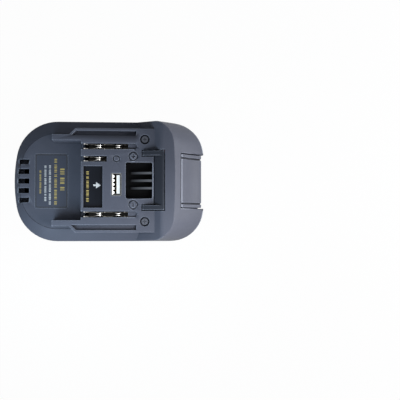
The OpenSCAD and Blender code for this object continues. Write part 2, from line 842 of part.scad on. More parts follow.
module air_slots() {
    for (i = [0:vent_count - 1]) {
        y = (i - (vent_count - 1) / 2) * vent_pitch;
        bow = y * y / (8 * rear_corner_r);
        mid_box(rear_x + vent_setback + bow, rear_x + vent_setback + vent_l, y, vent_w,
            split_z - past, deck_z + past);
    }
}

// Shallow ring sunk into the plateau around a polarity sign
module mark_ring(x, y, r) {
    translate([x, y, plateau_z - mark_d]) difference() {
        cylinder(r = r, h = mark_d + past);
        translate([0, 0, -past]) cylinder(r = r - mark_w, h = mark_d + 3 * past);
    }
}

module marks() {
    for (side = [1, -1]) {
        mark_ring(mark_x, side * mark_y, mark_r);
        mid_box(mark_x - mark_w / 2, mark_x + mark_w / 2, side * mark_y, mark_r,
            plateau_z - mark_d, plateau_z + past);
    }
    mid_box(mark_x - mark_r / 2, mark_x + mark_r / 2, mark_y, mark_w, plateau_z - mark_d, plateau_z + past);
    mark_ring(usb_x, signal_y, small_mark_r);
}

module upper_openings() {
    both_sides() {
        power_slot(power_y);
        rail_groove();
        translate([screw_x, screw_y, 0]) {
            translate([0, 0, split_z - past]) cylinder(r = post_r + fit_gap, h = post_z + past - split_z);
            translate([0, 0, post_z - past]) cylinder(r = shank_r + fit_gap, h = crest_z - post_z);
            translate([0, 0, plateau_z - screw_sink - head_h]) cylinder(r = head_r + head_gap, h = crest_z);
        }
        translate([rear_screw_x, rear_screw_y, split_z - past])
            cylinder(r = shank_r + fit_gap / 2, h = deck_rise + past - wall / 2);
    }
    blade_slot(signal_x1, signal_y, signal_slot_w);
    round_box(grille_x0, grille_x1, 0, grille_w, grille_corner_r, under_z - past, plateau_z + past);
    mid_box(usb_x - usb_t / 2 - fit_gap, usb_x + usb_t / 2 + fit_gap, usb_y, usb_w + 2 * fit_gap,
        under_z - past, plateau_z + past);
    mid_box(pocket_x0, pocket_x1, pocket_y, usb_plate_w, pocket_z, plateau_z + past);
    mid_box(plate_x, plate_x + plate_l, 0, plate_w, deck_z - plate_t, deck_z + past);
    mid_box(button_x0 - button_rear_gap, front_x + past, 0, 2 * well_half_w, split_z - past, crest_z);
    latch_window();
    air_slots();
    marks();
}

module upper_housing() {
    color(housing_colour) difference() {
        union() {
            difference() {
                shell_body();
                shell_cavity();
            }
            shell_bosses();
        }
        upper_openings();
    }
}

// Outside of the lower shell with its rounded bottom edge
module lower_body() {
    edge_rings = [for (a = [0, 30, 60, 90]) lower_ring(bottom_r * (1 - cos(a)), bottom_r * (1 - sin(a)))];
    loft(concat(edge_rings, [lower_ring(split_z, 0)]));
    translate([0, 0, ceiling_z]) linear_extrude(ceiling_t) intersection() {
        polygon(side_ring(0));
        translate([rear_x - past, -body_w]) square([rear_overhang + 2 * past, 2 * body_w]);
    }
}

module battery_bay() {
    mid_box(lower_rear_x - past, bay_x1, 0, bay_w, lip_h, ceiling_z);
    mid_box(lower_rear_x - past, bay_x1, 0, mouth_w, -past, lip_h + past);
    mid_box(lower_rear_x + catch_lead, lower_rear_x + catch_lead + catch_l, 0, catch_w,
        ceiling_z - past, ceiling_z + catch_d);
}

module front_hollows() {
    mid_box(well_x, front_x + past, 0, 2 * well_half_w, well_z, split_z + past);
    intersection() {
        loft([for (z = [bottom_r, split_z + past]) lower_ring(z, core_wall)]);
        both_sides() box(well_x, front_x, well_half_w + core_wall, half_w, 0, crest_z);
    }
}

module lower_posts() {
    both_sides() {
        translate([screw_x, screw_y, ceiling_z]) cylinder(r = post_r, h = post_z - ceiling_z);
        translate([spring_x, spring_y, well_z - past]) cylinder(r = spring_peg_r, h = spring_peg_h + past);
        for (x = [board_x + board_inset, board_x + board_l - board_inset])
            translate([x, board_w / 2 - board_inset, split_z - past]) {
                cylinder(r = stand_r, h = board_z + past - split_z);
                cylinder(r = stand_peg_r, h = board_top + past - split_z);
            }
    }
}

module lower_holes() {
    both_sides() {
        translate([screw_x, screw_y, pilot_z]) cylinder(r = shank_r + fit_gap / 2, h = crest_z);
        translate([rear_screw_x, rear_screw_y, ceiling_z - past]) {
            cylinder(r = shank_r + fit_gap, h = crest_z);
            cylinder(r = head_r + head_gap, h = past + head_h);
        }
        mid_box(tail_x0 - fit_gap, tail_x1 + fit_gap, blade_y, blade_t + 2 * fit_gap,
            ceiling_z - past, split_z + past);
        translate([block_peg_x, block_peg_y, ceiling_z - past])
            cylinder(r = block_peg_r + fit_gap, h = ceiling_t + 2 * past);
    }
}

module lower_housing() {
    color(housing_colour) difference() {
        union() {
            difference() {
                lower_body();
                battery_bay();
                front_hollows();
            }
            lower_posts();
        }
        lower_holes();
    }
}

module latch_slider() {
    color(housing_colour) {
        across(latch_w) polygon([
            [hook_x0, bridge_z],
            [hook_x0, plateau_z + hook_lip_h],
            [hook_x1 - hook_ridge_l, hook_z],
            [hook_x1, hook_z],
            [hook_x1, bridge_z]
        ]);
        both_sides() {
            translate([0, (latch_w - latch_arm_w) / 2, 0]) across(latch_arm_w) polygon([
                [arm_x, stop_z - stop_t],
                [arm_x, plateau_z + latch_arm_lip_h],
                [hook_x1 - hook_ridge_l, hook_z],
                [hook_x1 - hook_ridge_l, stop_z - stop_t]
            ]);
            box(arm_x, hook_x0 + past, latch_w / 2 - latch_arm_w, latch_w / 2 + stop_reach,
                stop_z - stop_t, stop_z);
        }
        mid_box(hook_x1 - past, button_x0, 0, bridge_w, bridge_z, bridge_z + bridge_t);
        mid_box(button_x0 - past, button_x0 + button_back_t, 0, tongue_w,
            tongue_z, tongue_z + tongue_t);
    }
}

// Side profile of the button: sloped panel and the apron that hangs from its front edge
module button_profile() {
    top_z0 = front_slope(button_x0) - button_flush;
    top_z1 = front_slope(button_x1) - button_flush;
    polygon([
        [button_x0, top_z0],
        [button_x1, top_z1],
        [button_x1 - apron_lean, apron_z],
        [button_x1 - apron_lean - button_t, apron_z],
        [button_x1 - button_t, front_slope(button_x1 - button_t) - button_flush - button_drop],
        [button_x0, top_z0 - button_drop]
    ]);
}

module button_scoop() {
    mid_x = (button_x0 + button_x1) / 2;
    r = (scoop_l * scoop_l / 4 + scoop_d * scoop_d) / (2 * scoop_d);
    out = (r - scoop_d) / slope_k;
    translate([mid_x + out * front_rise, 0, front_slope(mid_x) - button_flush + out])
        rotate([90, 0, 0]) cylinder(r = r, h = button_w - 2 * button_edge_w, center = true, $fn = 128);
}

// Grooves along the slope between the hollow and the raised edges
module button_grooves() {
    sink = button_flush + button_groove_d * slope_k;
    x0 = button_x0 - past;
    both_sides() translate([0, button_w / 2 - button_edge_w + button_groove_w / 2, 0])
        across(button_groove_w) polygon([
            [x0, front_slope(x0) - sink],
            [front_x, split_z - sink],
            [front_x, crest_z],
            [x0, crest_z]
        ]);
}

module release_button() {
    back_z = bridge_z - button_back_h;
    color(housing_colour) difference() {
        union() {
            across(button_w) button_profile();
            mid_box(button_x0, button_x0 + button_back_t, 0, bridge_w, back_z,
                front_slope(button_x0) - button_drop);
            both_sides() translate([spring_x, spring_y, spring_seat_z]) {
                cylinder(r = spring_outer_r, h = front_slope(spring_x) - button_drop - spring_seat_z);
                translate([0, 0, -spring_peg_h]) cylinder(r = spring_peg_r, h = spring_peg_h + past);
            }
        }
        button_scoop();
        button_grooves();
        mid_box(button_x0 - past, button_x0 + button_back_t + past, 0, tongue_w + 2 * fit_gap,
            tongue_z - fit_gap, tongue_z + tongue_t + fit_gap);
    }
}

// Turns of a latch spring, with an upright run of one wire diameter at each end
spring_steps = 8;
spring_sides = 6;
spring_angles = [for (i = [0:spring_turns * spring_steps]) 360 * i / spring_steps];
spring_rise = (spring_l - 2 * spring_wire) / (360 * spring_turns);
spring_turn_path = [for (a = spring_angles)
    [spring_d / 2 * cos(a), spring_d / 2 * sin(a), spring_wire + spring_rise * a]];
spring_path = concat([[spring_d / 2, 0, 0]], spring_turn_path, [[spring_d / 2, 0, spring_l]]);
spring_sideways = concat([[1, 0, 0]], [for (a = spring_angles) [cos(a), sin(a), 0]], [[1, 0, 0]]);
spring_gap = min([for (i = [0:len(spring_path) - 1], j = [i + 4:1:len(spring_path) - 1])
    norm(spring_path[i] - spring_path[j])]) - spring_wire;
echo(str("Least gap between turns of a latch spring: ", spring_gap, " mm"));

module latch_springs() {
    color(bright_metal) both_sides() translate([spring_x, spring_y, well_z])
        loft(tube_rings(spring_path, spring_sideways, spring_wire / 2, spring_sides));
}

module vent_grille() {
    x0 = grille_x0 - grille_wall;
    x1 = grille_x1 + grille_wall;
    color(black_plastic) {
        difference() {
            mid_box(x0, x1, 0, grille_w + 2 * grille_wall, grille_z, under_z);
            mid_box(grille_x0, grille_x1, 0, grille_w, grille_z + grille_wall, under_z + past);
        }
        for (i = [0:bar_count - 1]) {
            y = (i - (bar_count - 1) / 2) * bar_pitch;
            translate([0, y, 0]) across(bar_w) polygon([
                [grille_x0 + bar_lead, grille_z],
                [grille_x0 + bar_lead, grille_z + bar_low_h],
                [grille_x1 - fit_gap, plateau_z - bar_sink],
                [grille_x1 - fit_gap, grille_z]
            ]);
        }
    }
}

module name_plate() {
    color(black_plastic) mid_box(plate_x + fit_gap, plate_x + plate_l - fit_gap, 0, plate_w - 2 * fit_gap,
        deck_z - plate_t, deck_z);
}

module usb_plate() {
    color(black_plastic) mid_box(pocket_x0 + fit_gap, pocket_x1 - fit_gap,
        pocket_y, usb_plate_w - 2 * fit_gap, pocket_z, pocket_z + usb_plate_t);
}

module usb_shell() {
    color(bright_metal) difference() {
        mid_box(usb_x - usb_t / 2, usb_x + usb_t / 2, usb_y, usb_w, board_top, usb_rim_z);
        mid_box(usb_x - usb_t / 2 + usb_wall, usb_x + usb_t / 2 - usb_wall, usb_y, usb_w - 2 * usb_wall,
            usb_floor_z, plateau_z + past);
    }
}

module usb_tongue() {
    color("white") mid_box(usb_tongue_x, usb_tongue_x + usb_tongue_t, usb_y, usb_tongue_w,
        usb_floor_z, usb_tongue_z);
}

module usb_contacts() {
    color([0.75, 0.6, 0.25]) for (i = [0:3])
        mid_box(usb_tongue_x - usb_contact_t, usb_tongue_x,
            usb_y + (i - 1.5) * usb_contact_pitch, usb_contact_w,
            usb_floor_z, usb_tongue_z - usb_contact_t);
}

// Two leaves that face each other and close in at each pinch, on a base with a soldering lug
module leaf_clip(x0, x1, slot_w, pinches, base_z) {
    rest_y = slot_w / 2 - leaf_gap - leaf_t / 2;
    pinch_y = (leaf_pinch + leaf_t) / 2;
    steps = ceil(x1 - x0);
    line = [for (i = [0:steps]) let (
            x = x0 + (x1 - x0) * i / steps,
            near = [for (p = pinches) min(1, abs(x - p) / pinch_reach)],
            close = (1 + cos(180 * min(near))) / 2
        ) [x, rest_y - (rest_y - pinch_y) * close]];
    outer_edge = [for (p = line) [p.x, p.y + leaf_t / 2]];
    inner_edge = [for (p = line) [p.x, p.y - leaf_t / 2]];
    both_sides() translate([0, 0, base_z + leaf_t / 2]) linear_extrude(leaf_z - base_z - leaf_t / 2)
        polygon(concat(outer_edge, reversed(inner_edge)));
    mid_box(x0, x1 + clip_tail_l, 0, 2 * rest_y + leaf_t, base_z, base_z + leaf_t);
    mid_box(x1 + clip_tail_l - leaf_t, x1 + clip_tail_l, 0, 2 * rest_y + leaf_t, base_z, base_z + clip_lug_h);
}

module positive_clip() {
    color(bright_metal) translate([0, power_y, 0])
        leaf_clip(clip_x0, holder_x1, power_slot_w, power_pinches, clip_z);
}

module negative_clip() {
    color(bright_metal) translate([0, -power_y, 0])
        leaf_clip(clip_x0, holder_x1, power_slot_w, power_pinches, clip_z);
}

module signal_clip() {
    color(bright_metal) translate([0, signal_y, 0])
        leaf_clip(clip_x0, signal_clip_x1, signal_slot_w, signal_pinches, signal_clip_z);
}

// Channel that stands between a seat and the plateau and carries a clip
module clip_holder(x0, x1, y, slot_w, seat_z, floor_z) {
    color(black_plastic) difference() {
        mid_box(x0, x1, y, slot_w + 2 * holder_side, seat_z, under_z);
        mid_box(x0 - past, x1 + past, y, slot_w, floor_z, under_z + past);
        pocket_boss();
    }
}

module positive_clip_holder() {
    clip_holder(holder_x0, holder_x1, power_y, power_slot_w, split_z, clip_z);
}

module negative_clip_holder() {
    clip_holder(holder_x0, holder_x1, -power_y, power_slot_w, split_z, clip_z);
}

module signal_clip_holder() {
    clip_holder(board_x, signal_clip_x1, signal_y, signal_slot_w, board_top, signal_clip_z);
}

module circuit_board() {
    color([0.05, 0.3, 0.15]) difference() {
        mid_box(board_x, board_x + board_l, 0, board_w, board_z, board_top);
        both_sides() for (x = [board_x + board_inset, board_x + board_l - board_inset])
            translate([x, board_w / 2 - board_inset, board_z - past])
                cylinder(r = stand_peg_r + fit_gap, h = board_t + 2 * past);
    }
}

module inductor() {
    color([0.2, 0.2, 0.22]) translate([board_x + coil_lead, coil_y, board_top]) difference() {
        cylinder(r = coil_r, h = coil_h);
        translate([0, 0, coil_h / 4]) difference() {
            cylinder(r = coil_r + past, h = coil_h / 2);
            cylinder(r = coil_r - coil_r / 5, h = coil_h / 2);
        }
    }
}

module capacitors() {
    color([0.1, 0.1, 0.3]) for (i = [0:1])
        translate([board_x + capacitor_lead, capacitor_y + i * capacitor_pitch, board_top])
            cylinder(r = capacitor_r, h = capacitor_h);
}

module regulator_chip() {
    color(black_plastic) mid_box(chip_x, chip_x + chip_l, -chip_y, chip_w, board_top, board_top + chip_h);
}

module diode() {
    color(black_plastic) mid_box(chip_x, chip_x + diode_l, chip_y, diode_w, board_top, board_top + diode_h);
}

module battery_terminal_block() {
    color(black_plastic) difference() {
        union() {
            mid_box(block_x, bay_x1, 0, block_w, block_clear, ceiling_z);
            both_sides() translate([block_peg_x, block_peg_y, ceiling_z - past])
                cylinder(r = block_peg_r, h = ceiling_t + past);
        }
        both_sides() mid_box(block_x - past, tail_x1 + fit_gap, blade_y, blade_t + 2 * fit_gap,
            blade_clear, ceiling_z + past);
        for (y = signal_blade_rows)
            mid_box(block_x - past, block_x + signal_blade_hold + fit_gap, y, signal_blade_t + 2 * fit_gap,
                signal_blade_clear, signal_blade_clear + signal_blade_h + fit_gap);
    }
}

// Blade that meets the battery, with a tail that rises through the ceiling of the bay
module power_blade(y) {
    color(bright_metal) translate([0, y, 0]) across(blade_t) polygon([
        [block_x - blade_reach, blade_clear],
        [tail_x1, blade_clear],
        [tail_x1, split_z + blade_tail_rise],
        [tail_x0, split_z + blade_tail_rise],
        [tail_x0, blade_clear + blade_h],
        [block_x - blade_reach, blade_clear + blade_h]
    ]);
}

module positive_blade() {
    power_blade(blade_y);
}

module negative_blade() {
    power_blade(-blade_y);
}

module signal_blades() {
    color(bright_metal) for (y = signal_blade_rows)
        mid_box(block_x - signal_blade_reach, block_x + signal_blade_hold, y, signal_blade_t,
            signal_blade_clear, signal_blade_clear + signal_blade_h);
}

// Wire from the tail of a blade, under the latch stop, to the lug of a clip
lead_sides = 8;
lead_z = split_z + lead_rise;
lead_x0 = (tail_x0 + tail_x1) / 2;
lead_x1 = holder_x1 + clip_tail_l;
lead_end_z = clip_z + clip_lug_h / 2;
lead_path = [
    [lead_x0, blade_y + blade_t / 2, lead_z],
    [lead_x0, blade_y + blade_t / 2 + 2.2, lead_z],
    [lead_x0 - 1.5, lead_y - 0.5, lead_z],
    [lead_x0 - 4, lead_y, lead_z],
    [lead_x0 - 9, lead_y, lead_z],
    [lead_x1 + 8, lead_y, lead_z + 0.2],
    [lead_x1 + 4.6, lead_y + 0.1, lead_end_z - 1.6],
    [lead_x1 + 2.2, power_y, lead_end_z],
    [lead_x1, power_y, lead_end_z]
];
lead_sideways = [for (p = lead_path) [0, 0, 1]];

module positive_lead() {
    color([0.7, 0.05, 0.05]) loft(tube_rings(lead_path, lead_sideways, lead_r, lead_sides));
}

module negative_lead() {
    color([0.08, 0.08, 0.08]) mirror([0, 1, 0])
        loft(tube_rings(lead_path, lead_sideways, lead_r, lead_sides));
}

// Screw with its head down at the origin and its shank upwards
module screw(shank_l) {
    color(bright_metal) difference() {
        union() {
            cylinder(r = head_r, h = head_h);
            cylinder(r = shank_r, h = head_h + shank_l);
        }
        for (turn = [0, 90])
            rotate([0, 0, turn]) mid_box(-cross_l / 2, cross_l / 2, 0, cross_w, -past, cross_d);
    }
}

module top_screws() {
    both_sides() translate([screw_x, screw_y, plateau_z - screw_sink]) mirror([0, 0, 1])
        screw(plateau_z - screw_sink - head_h - pilot_z - screw_end_gap);
}

module rear_screws() {
    both_sides() translate([rear_screw_x, rear_screw_y, ceiling_z])
        screw(ceiling_t + deck_rise - wall / 2 - head_h - screw_end_gap);
}

upper_housing();
lower_housing();
latch_slider();
release_button();
latch_springs();
vent_grille();
name_plate();
usb_plate();
usb_shell();
usb_tongue();
usb_contacts();
positive_clip();
negative_clip();
signal_clip();
positive_clip_holder();
negative_clip_holder();
signal_clip_holder();
circuit_board();
inductor();
capacitors();
regulator_chip();
diode();
battery_terminal_block();
positive_blade();
negative_blade();
signal_blades();
positive_lead();
negative_lead();
top_screws();
rear_screws();
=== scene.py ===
"""Looks of a slide-on battery adapter, laid out as an add-on and run as a script around the CAD parts of
model.glb.
"""

import math

import bmesh
import bpy
from bpy.props import FloatProperty, FloatVectorProperty, IntProperty, PointerProperty
from mathutils import Matrix, Vector
from mathutils.bvhtree import BVHTree
from mathutils.geometry import intersect_point_line


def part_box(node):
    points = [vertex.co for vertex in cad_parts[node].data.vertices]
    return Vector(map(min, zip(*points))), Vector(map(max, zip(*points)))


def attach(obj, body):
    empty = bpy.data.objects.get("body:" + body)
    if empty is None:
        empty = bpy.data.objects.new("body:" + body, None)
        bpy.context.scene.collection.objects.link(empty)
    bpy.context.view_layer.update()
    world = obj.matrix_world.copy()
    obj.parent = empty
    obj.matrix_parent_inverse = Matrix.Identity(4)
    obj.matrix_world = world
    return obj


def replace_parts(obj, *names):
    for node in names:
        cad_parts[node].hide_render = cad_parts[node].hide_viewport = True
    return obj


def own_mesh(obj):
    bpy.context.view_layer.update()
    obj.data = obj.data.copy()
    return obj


bl_info = {
    "name": "Slide Battery Adapter",
    "version": (1, 0, 0),
    "blender": (4, 5, 0),
    "location": "View3D > Sidebar > Adapter",
    "description": "Finishes, prints, springs and stage for a slide-on battery adapter",
    "category": "Object",
}

MM = 0.001

# Faces that turn by less than this are joined as flat
FLAT_ANGLE = math.radians(0.6)

# Edges of small pieces that turn by more than this are sharp
SHARP_ANGLE = math.radians(35)

# Radii of small rounded edges: mouldings, plates and cans, bent sheet, socket contacts
MOULDED_EDGE = 0.15 * MM
PLATE_EDGE = 0.12 * MM
SHEET_EDGE = 0.08 * MM
CONTACT_EDGE = 0.05 * MM

# Stretch of the drawing lines in a plating, by the axis that they run along
ALONG_X = (0.15, 1, 1)
ALONG_Y = (1, 0.15, 1)
ALONG_Z = (1, 1, 0.15)

# Printed rows: plate, place along X, start and end along Y and height in mm, and start of the pattern
GOLD_ROWS = (
    ("name_plate", -28.6, 7.6, -5.8, 2.6, 0.4),
    ("name_plate", -32.6, 13.4, -15.0, 1.6, 1.1),
    ("name_plate", -41.7, 6.4, -7.5, 1.1, 2.0),
    ("usb_plate", -13.0, 5.4, -13.0, 1.5, 0.2),
)
WHITE_ROWS = (
    ("name_plate", -36.0, 9.4, -14.2, 1.2, 0.7),
    ("name_plate", -38.7, 9.4, -12.1, 1.2, 1.8),
)

# Outline of the arrow beside the socket, in mm
ARROW = ((-9.6, -3.4), (-8.0, -3.4), (-8.0, -4.8), (-5.2, -2.9), (-8.0, -1.0), (-8.0, -2.4), (-9.6, -2.4))

# Rounded rim of a screw head: steps in from its side and down from its top, in mm
HEAD_RIM = ((0.35, 0), (0.1, 0.25), (0, 0.7))

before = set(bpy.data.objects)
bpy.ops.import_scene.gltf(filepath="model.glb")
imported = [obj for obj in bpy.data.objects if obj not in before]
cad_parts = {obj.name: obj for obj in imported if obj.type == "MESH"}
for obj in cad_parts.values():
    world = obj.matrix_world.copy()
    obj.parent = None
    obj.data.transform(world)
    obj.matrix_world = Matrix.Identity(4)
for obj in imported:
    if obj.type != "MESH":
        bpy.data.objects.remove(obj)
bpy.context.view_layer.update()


def colour(name, description, default):
    """Setting for a colour."""
    return FloatVectorProperty(
        name=name, description=description, default=default, subtype="COLOR", size=3, min=0, max=1)


def length(name, description, default):
    """Setting for a length in metres."""
    return FloatProperty(
        name=name, description=description, default=default, unit="LENGTH", precision=5)


def place(name, description, default, size=2):
    """Setting for two or three lengths."""
    return FloatVectorProperty(
        name=name, description=description, default=default, unit="LENGTH", size=size, precision=5)


def power(name, description, default):
    """Setting for the power of a light."""
    return FloatProperty(
        name=name, description=description, default=default, min=0, unit="POWER", precision=3)


def amount(name, description, default):
    """Setting for a plain number."""
    return FloatProperty(name=name, description=description, default=default, min=0)


class ShellSettings(bpy.types.PropertyGroup):
    """Moulded shells, latch and button"""

    plastic: colour("Plastic", "Slate grey of the moulded shells", (0.067, 0.072, 0.095))
    # Darker latch grey: partly its own tone, partly painted shade on its ramp and arms
    latch: colour("Latch", "Darker grey of the latch hook", (0.017, 0.020, 0.028))
    # Pale edge colour: partly wear, partly a painted highlight along the edges
    edge: colour("Edge", "Pale grey of rubbed edges", (0.25, 0.27, 0.33))
    black: colour("Black", "Black of the inner mouldings", (0.003, 0.0032, 0.004))
    # Paler top of the grille bars: painted light, with the lower bars left dark as painted shade
    painted_light: colour("Rubbed black", "Paler top of the grille bars", (0.13, 0.13, 0.14))
    painted_light_start: length("Rub start", "Where that tone starts, below the middle of the grille", 1 * MM)
    edge_radius: length("Edge radius", "Rounding of the moulded edges", 0.3 * MM)
    # Dark strip around the rear deck: painted shade of a shallow groove
    seam: length("Seam", "Width of the line around the rear deck", 0.35 * MM)
    deck_shade_tone: amount("Seam tone", "Tone of that line as a share of the plastic", 0.4)
    grain: length("Grain", "Size of one grain of the moulded texture", 0.3 * MM)
    grain_depth: length("Grain depth", "Depth of the moulded texture", 0.03 * MM)
    cloud: length("Cloud", "Size of the faint patches in the plastic", 9 * MM)
    # The pale band along the edges set below is partly wear and partly a painted highlight
    wear_and_highlight: length("Wear", "Width of the rubbed edges", 0.9 * MM)
    wear_and_highlight_start: amount("Wear start", "How sharp an edge is where rubbing starts", 0.2)
    wear_and_highlight_strength: amount("Wear strength", "Paleness of the rubbed edges", 4.0)
    # Painted shade: the plastic darkens where the surface is closed in
    painted_crevice_shade: length("Crevice", "Reach of the dusky crevices", 1.6 * MM)
    painted_crevice_shade_start: amount("Crevice start", "How closed in a place is where dusk starts", 0.1)
    painted_crevice_shade_strength: amount("Crevice strength", "Darkness of the crevices", 1.5)


class ContactSettings(bpy.types.PropertyGroup):
    """Contacts, socket and screws"""

    plating: colour("Plating", "Bright plating of the contacts", (0.74, 0.73, 0.70))
    tin: colour("Tin", "Plating of the socket shell", (0.26, 0.27, 0.28))
    gilt: colour("Gilt", "Gilding of the socket contacts", (0.30, 0.21, 0.08))
    nylon: colour("Nylon", "White nylon of the socket tongue", (0.94, 0.94, 0.92))
    screw: colour("Screw", "Dark plating of the screws", (0.07, 0.077, 0.095))
    power_pinches: place("Power pinches", "Pinches of a power clip along X", (-6.2 * MM, 5.1 * MM))
    signal_pinch: length("Signal pinch", "Pinch of the signal clip along X", -6.5 * MM)
    leaf: length("Leaf", "Thickness of the contact leaves", 0.5 * MM)
    pinch: length("Pinch", "Half the opening between two leaves at a pinch", 0.25 * MM)
    reach: length("Reach", "Half the length of a pinch", 4.0 * MM)
    dip: length("Dip", "How far the leaves sink between their pinches", 3.4 * MM)
    end_rise: length("End rise", "Length over which the leaves rise at their ends", 1.2 * MM)
    tail: length("Tail", "Length of the soldering tail of a clip", 3.5 * MM)
    lug_h: length("Lug", "Height of the soldering lug of a clip", 3 * MM)
    lip: length("Lip", "How far the lips of a clip reach ahead of it", 2.4 * MM)
    lip_h: length("Lip height", "Height of the lips of a clip", 2.4 * MM)
    lip_flat: length("Lip flat", "Length of a lip at its full height", 0.9 * MM)
    lip_slope: length("Lip slope", "Length of the slope behind that", 0.4 * MM)
    lip_drop: amount("Lip drop", "Drop of that slope as a share of the lip's height", 0.8)
    # Depths of painted shade: below these the plating darkens as if in the shade of its slot or socket
    painted_leaf_shade: place("Worn", "Depths between which the leaves turn bright", (4.0 * MM, 0.3 * MM))
    painted_rim_shade: place("Worn rim", "Depths between which the socket shell turns bright", (0.9 * MM, 0.2 * MM))
    painted_finger_shade: place("Worn fingers", "Depths between which the fingers turn bright", (1.3 * MM, 0.3 * MM))
    head_h: length("Head", "Height of a screw head", 1.3 * MM)
    shank_r: length("Shank", "Radius of a screw shank", 1.2 * MM)
    cross: length("Cross", "Half the length of the cross recess", 1.0 * MM)
    cross_d: length("Cross depth", "Depth of the cross recess", 0.9 * MM)
    finger: length("Finger", "Thickness of the spring fingers in the socket", 0.3 * MM)


class PrintSettings(bpy.types.PropertyGroup):
    """Plates and their prints"""

    film: colour("Film", "Film of the name plate", (0.062, 0.069, 0.094))
    gloss: colour("Gloss", "Black of the plate beside the socket", (0.006, 0.007, 0.010))
    gold: colour("Gold", "Gold ink", (0.52, 0.40, 0.13))
    white: colour("White", "White ink", (0.75, 0.75, 0.75))
    border: colour("Border", "Dark line around the name plate", (0.012, 0.013, 0.017))
    ink: length("Ink", "Thickness of the printed ink", 0.02 * MM)
    line_r: length("Line corner", "Corner radius of the line, taken at the edge of the plate", 1.4 * MM)
    line_out: length("Line out", "Outer edge of the line, in from the edge of the plate", 0.15 * MM)
    line_in: length("Line in", "Inner edge of the line, in from the edge of the plate", 0.55 * MM)


class WorksSettings(bpy.types.PropertyGroup):
    """Springs, wires and the circuit board"""

    wire: length("Spring wire", "Wire diameter of the latch springs", 0.8 * MM)
    turns: IntProperty(name="Turns", description="Turns of a latch spring", default=7, min=4, max=12)
    steel: colour("Steel", "Wire of the latch springs", (0.55, 0.55, 0.54))
    ferrite: colour("Ferrite", "Body of the inductor", (0.03, 0.03, 0.033))
    mask: colour("Solder mask", "Green of the circuit board", (0.012, 0.10, 0.035))
    red_wire: colour("Red wire", "Sleeve of the positive lead", (0.42, 0.012, 0.012))
    black_wire: colour("Black wire", "Sleeve of the negative lead", (0.012, 0.012, 0.013))
    sleeve: colour("Sleeve", "Sleeve of the capacitors", (0.012, 0.013, 0.05))


class StageSettings(bpy.types.PropertyGroup):
    """Floor, lights and camera"""

    floor: colour("Floor", "Pale floor", (0.86, 0.86, 0.86))
    floor_half: length("Floor half", "Half the width of the floor", 4.0)
    sky: amount("Sky", "Strength of the even light", 0.12)
    cool: colour("Cool", "Tint of the side light and of the even light", (0.70, 0.87, 1.0))
    light_aim: length("Light aim", "Height that the lights point at", 35 * MM)
    side: power("Side", "Power of the side light", 0.116)
    side_place: place("Side place", "Place of the side light", (-55 * MM, -75 * MM, 110 * MM), 3)
    side_size: length("Side size", "Width of the side light", 60 * MM)
    front: power("Front", "Power of the front light", 2.2)
    front_place: place("Front place", "Place of the front light", (440 * MM, 0, 129 * MM), 3)
    front_size: length("Front size", "Width of the front light", 250 * MM)
    near: power("Near", "Power of the small near light", 0.054)
    near_place: place("Near place", "Place of the small near light", (48 * MM, -45 * MM, 105 * MM), 3)
    near_size: length("Near size", "Width of the small near light", 50 * MM)
    rise: length("Rise", "Height of the camera above the parting line", 0.496)
    stand: place("Stand", "Place of the camera over the part", (12.6 * MM, -24.7 * MM))
    aim: place("Aim", "Middle of the view at the parting line", (55.4 * MM, -11.1 * MM))
    view_width: length("View width", "Width of the view at the aim", 248.1 * MM)


class Socket:
    """Output of a shader node; arithmetic on it adds Math nodes."""

    def __init__(self, finish, link):
        self.finish = finish
        self.link = link

    def math(self, operation, first, second):
        return self.finish.node("ShaderNodeMath", {"operation": operation}, {0: first, 1: second})

    def __add__(self, other):
        return self.math("ADD", self, other)

    __radd__ = __add__

    def __sub__(self, other):
        return self.math("SUBTRACT", self, other)

    def __rsub__(self, other):
        return self.math("SUBTRACT", other, self)

    def __mul__(self, other):
        return self.math("MULTIPLY", self, other)

    __rmul__ = __mul__

    def __gt__(self, other):
        return self.math("GREATER_THAN", self, other)

    def __lt__(self, other):
        return self.math("LESS_THAN", self, other)


class Nodes:
    """A node tree and the ways to add to it."""

    def __init__(self, tree):
        self.tree = tree

    def node(self, kind, settings=None, inputs=None, output=0):
        """Adds a node; its settings are set before the values or links of its sockets."""
        made = self.tree.nodes.new(kind)
        for key, value in (settings or {}).items():
            setattr(made, key, value)
        for key, value in (inputs or {}).items():
            self.feed(made.inputs[key], value)
        return Socket(self, made.outputs[output])

    def feed(self, socket, value):
        """Links a socket or sets its value."""
        if isinstance(value, Socket):
            self.tree.links.new(value.link, socket)
        elif socket.type == "RGBA":
            socket.default_value = (*value, 1)
        else:
            socket.default_value = value

    def mix(self, factor, first, second):
        """Blend of two colours."""
        settings = {"data_type": "RGBA", "clamp_factor": True}
        return self.node("ShaderNodeMix", settings, {0: factor, 6: first, 7: second}, output=2)

    def seen(self):
        """1 on rays that show the floor or the sky: straight, mirrored or through glass."""
        path = self.node("ShaderNodeLightPath").link.node
        camera, glossy, through = (Socket(self, path.outputs[name]) for name in
                                   ("Is Camera Ray", "Is Glossy Ray", "Is Transmission Ray"))
        rays = camera + glossy + through
        return rays.math("MINIMUM", rays, 1.0)


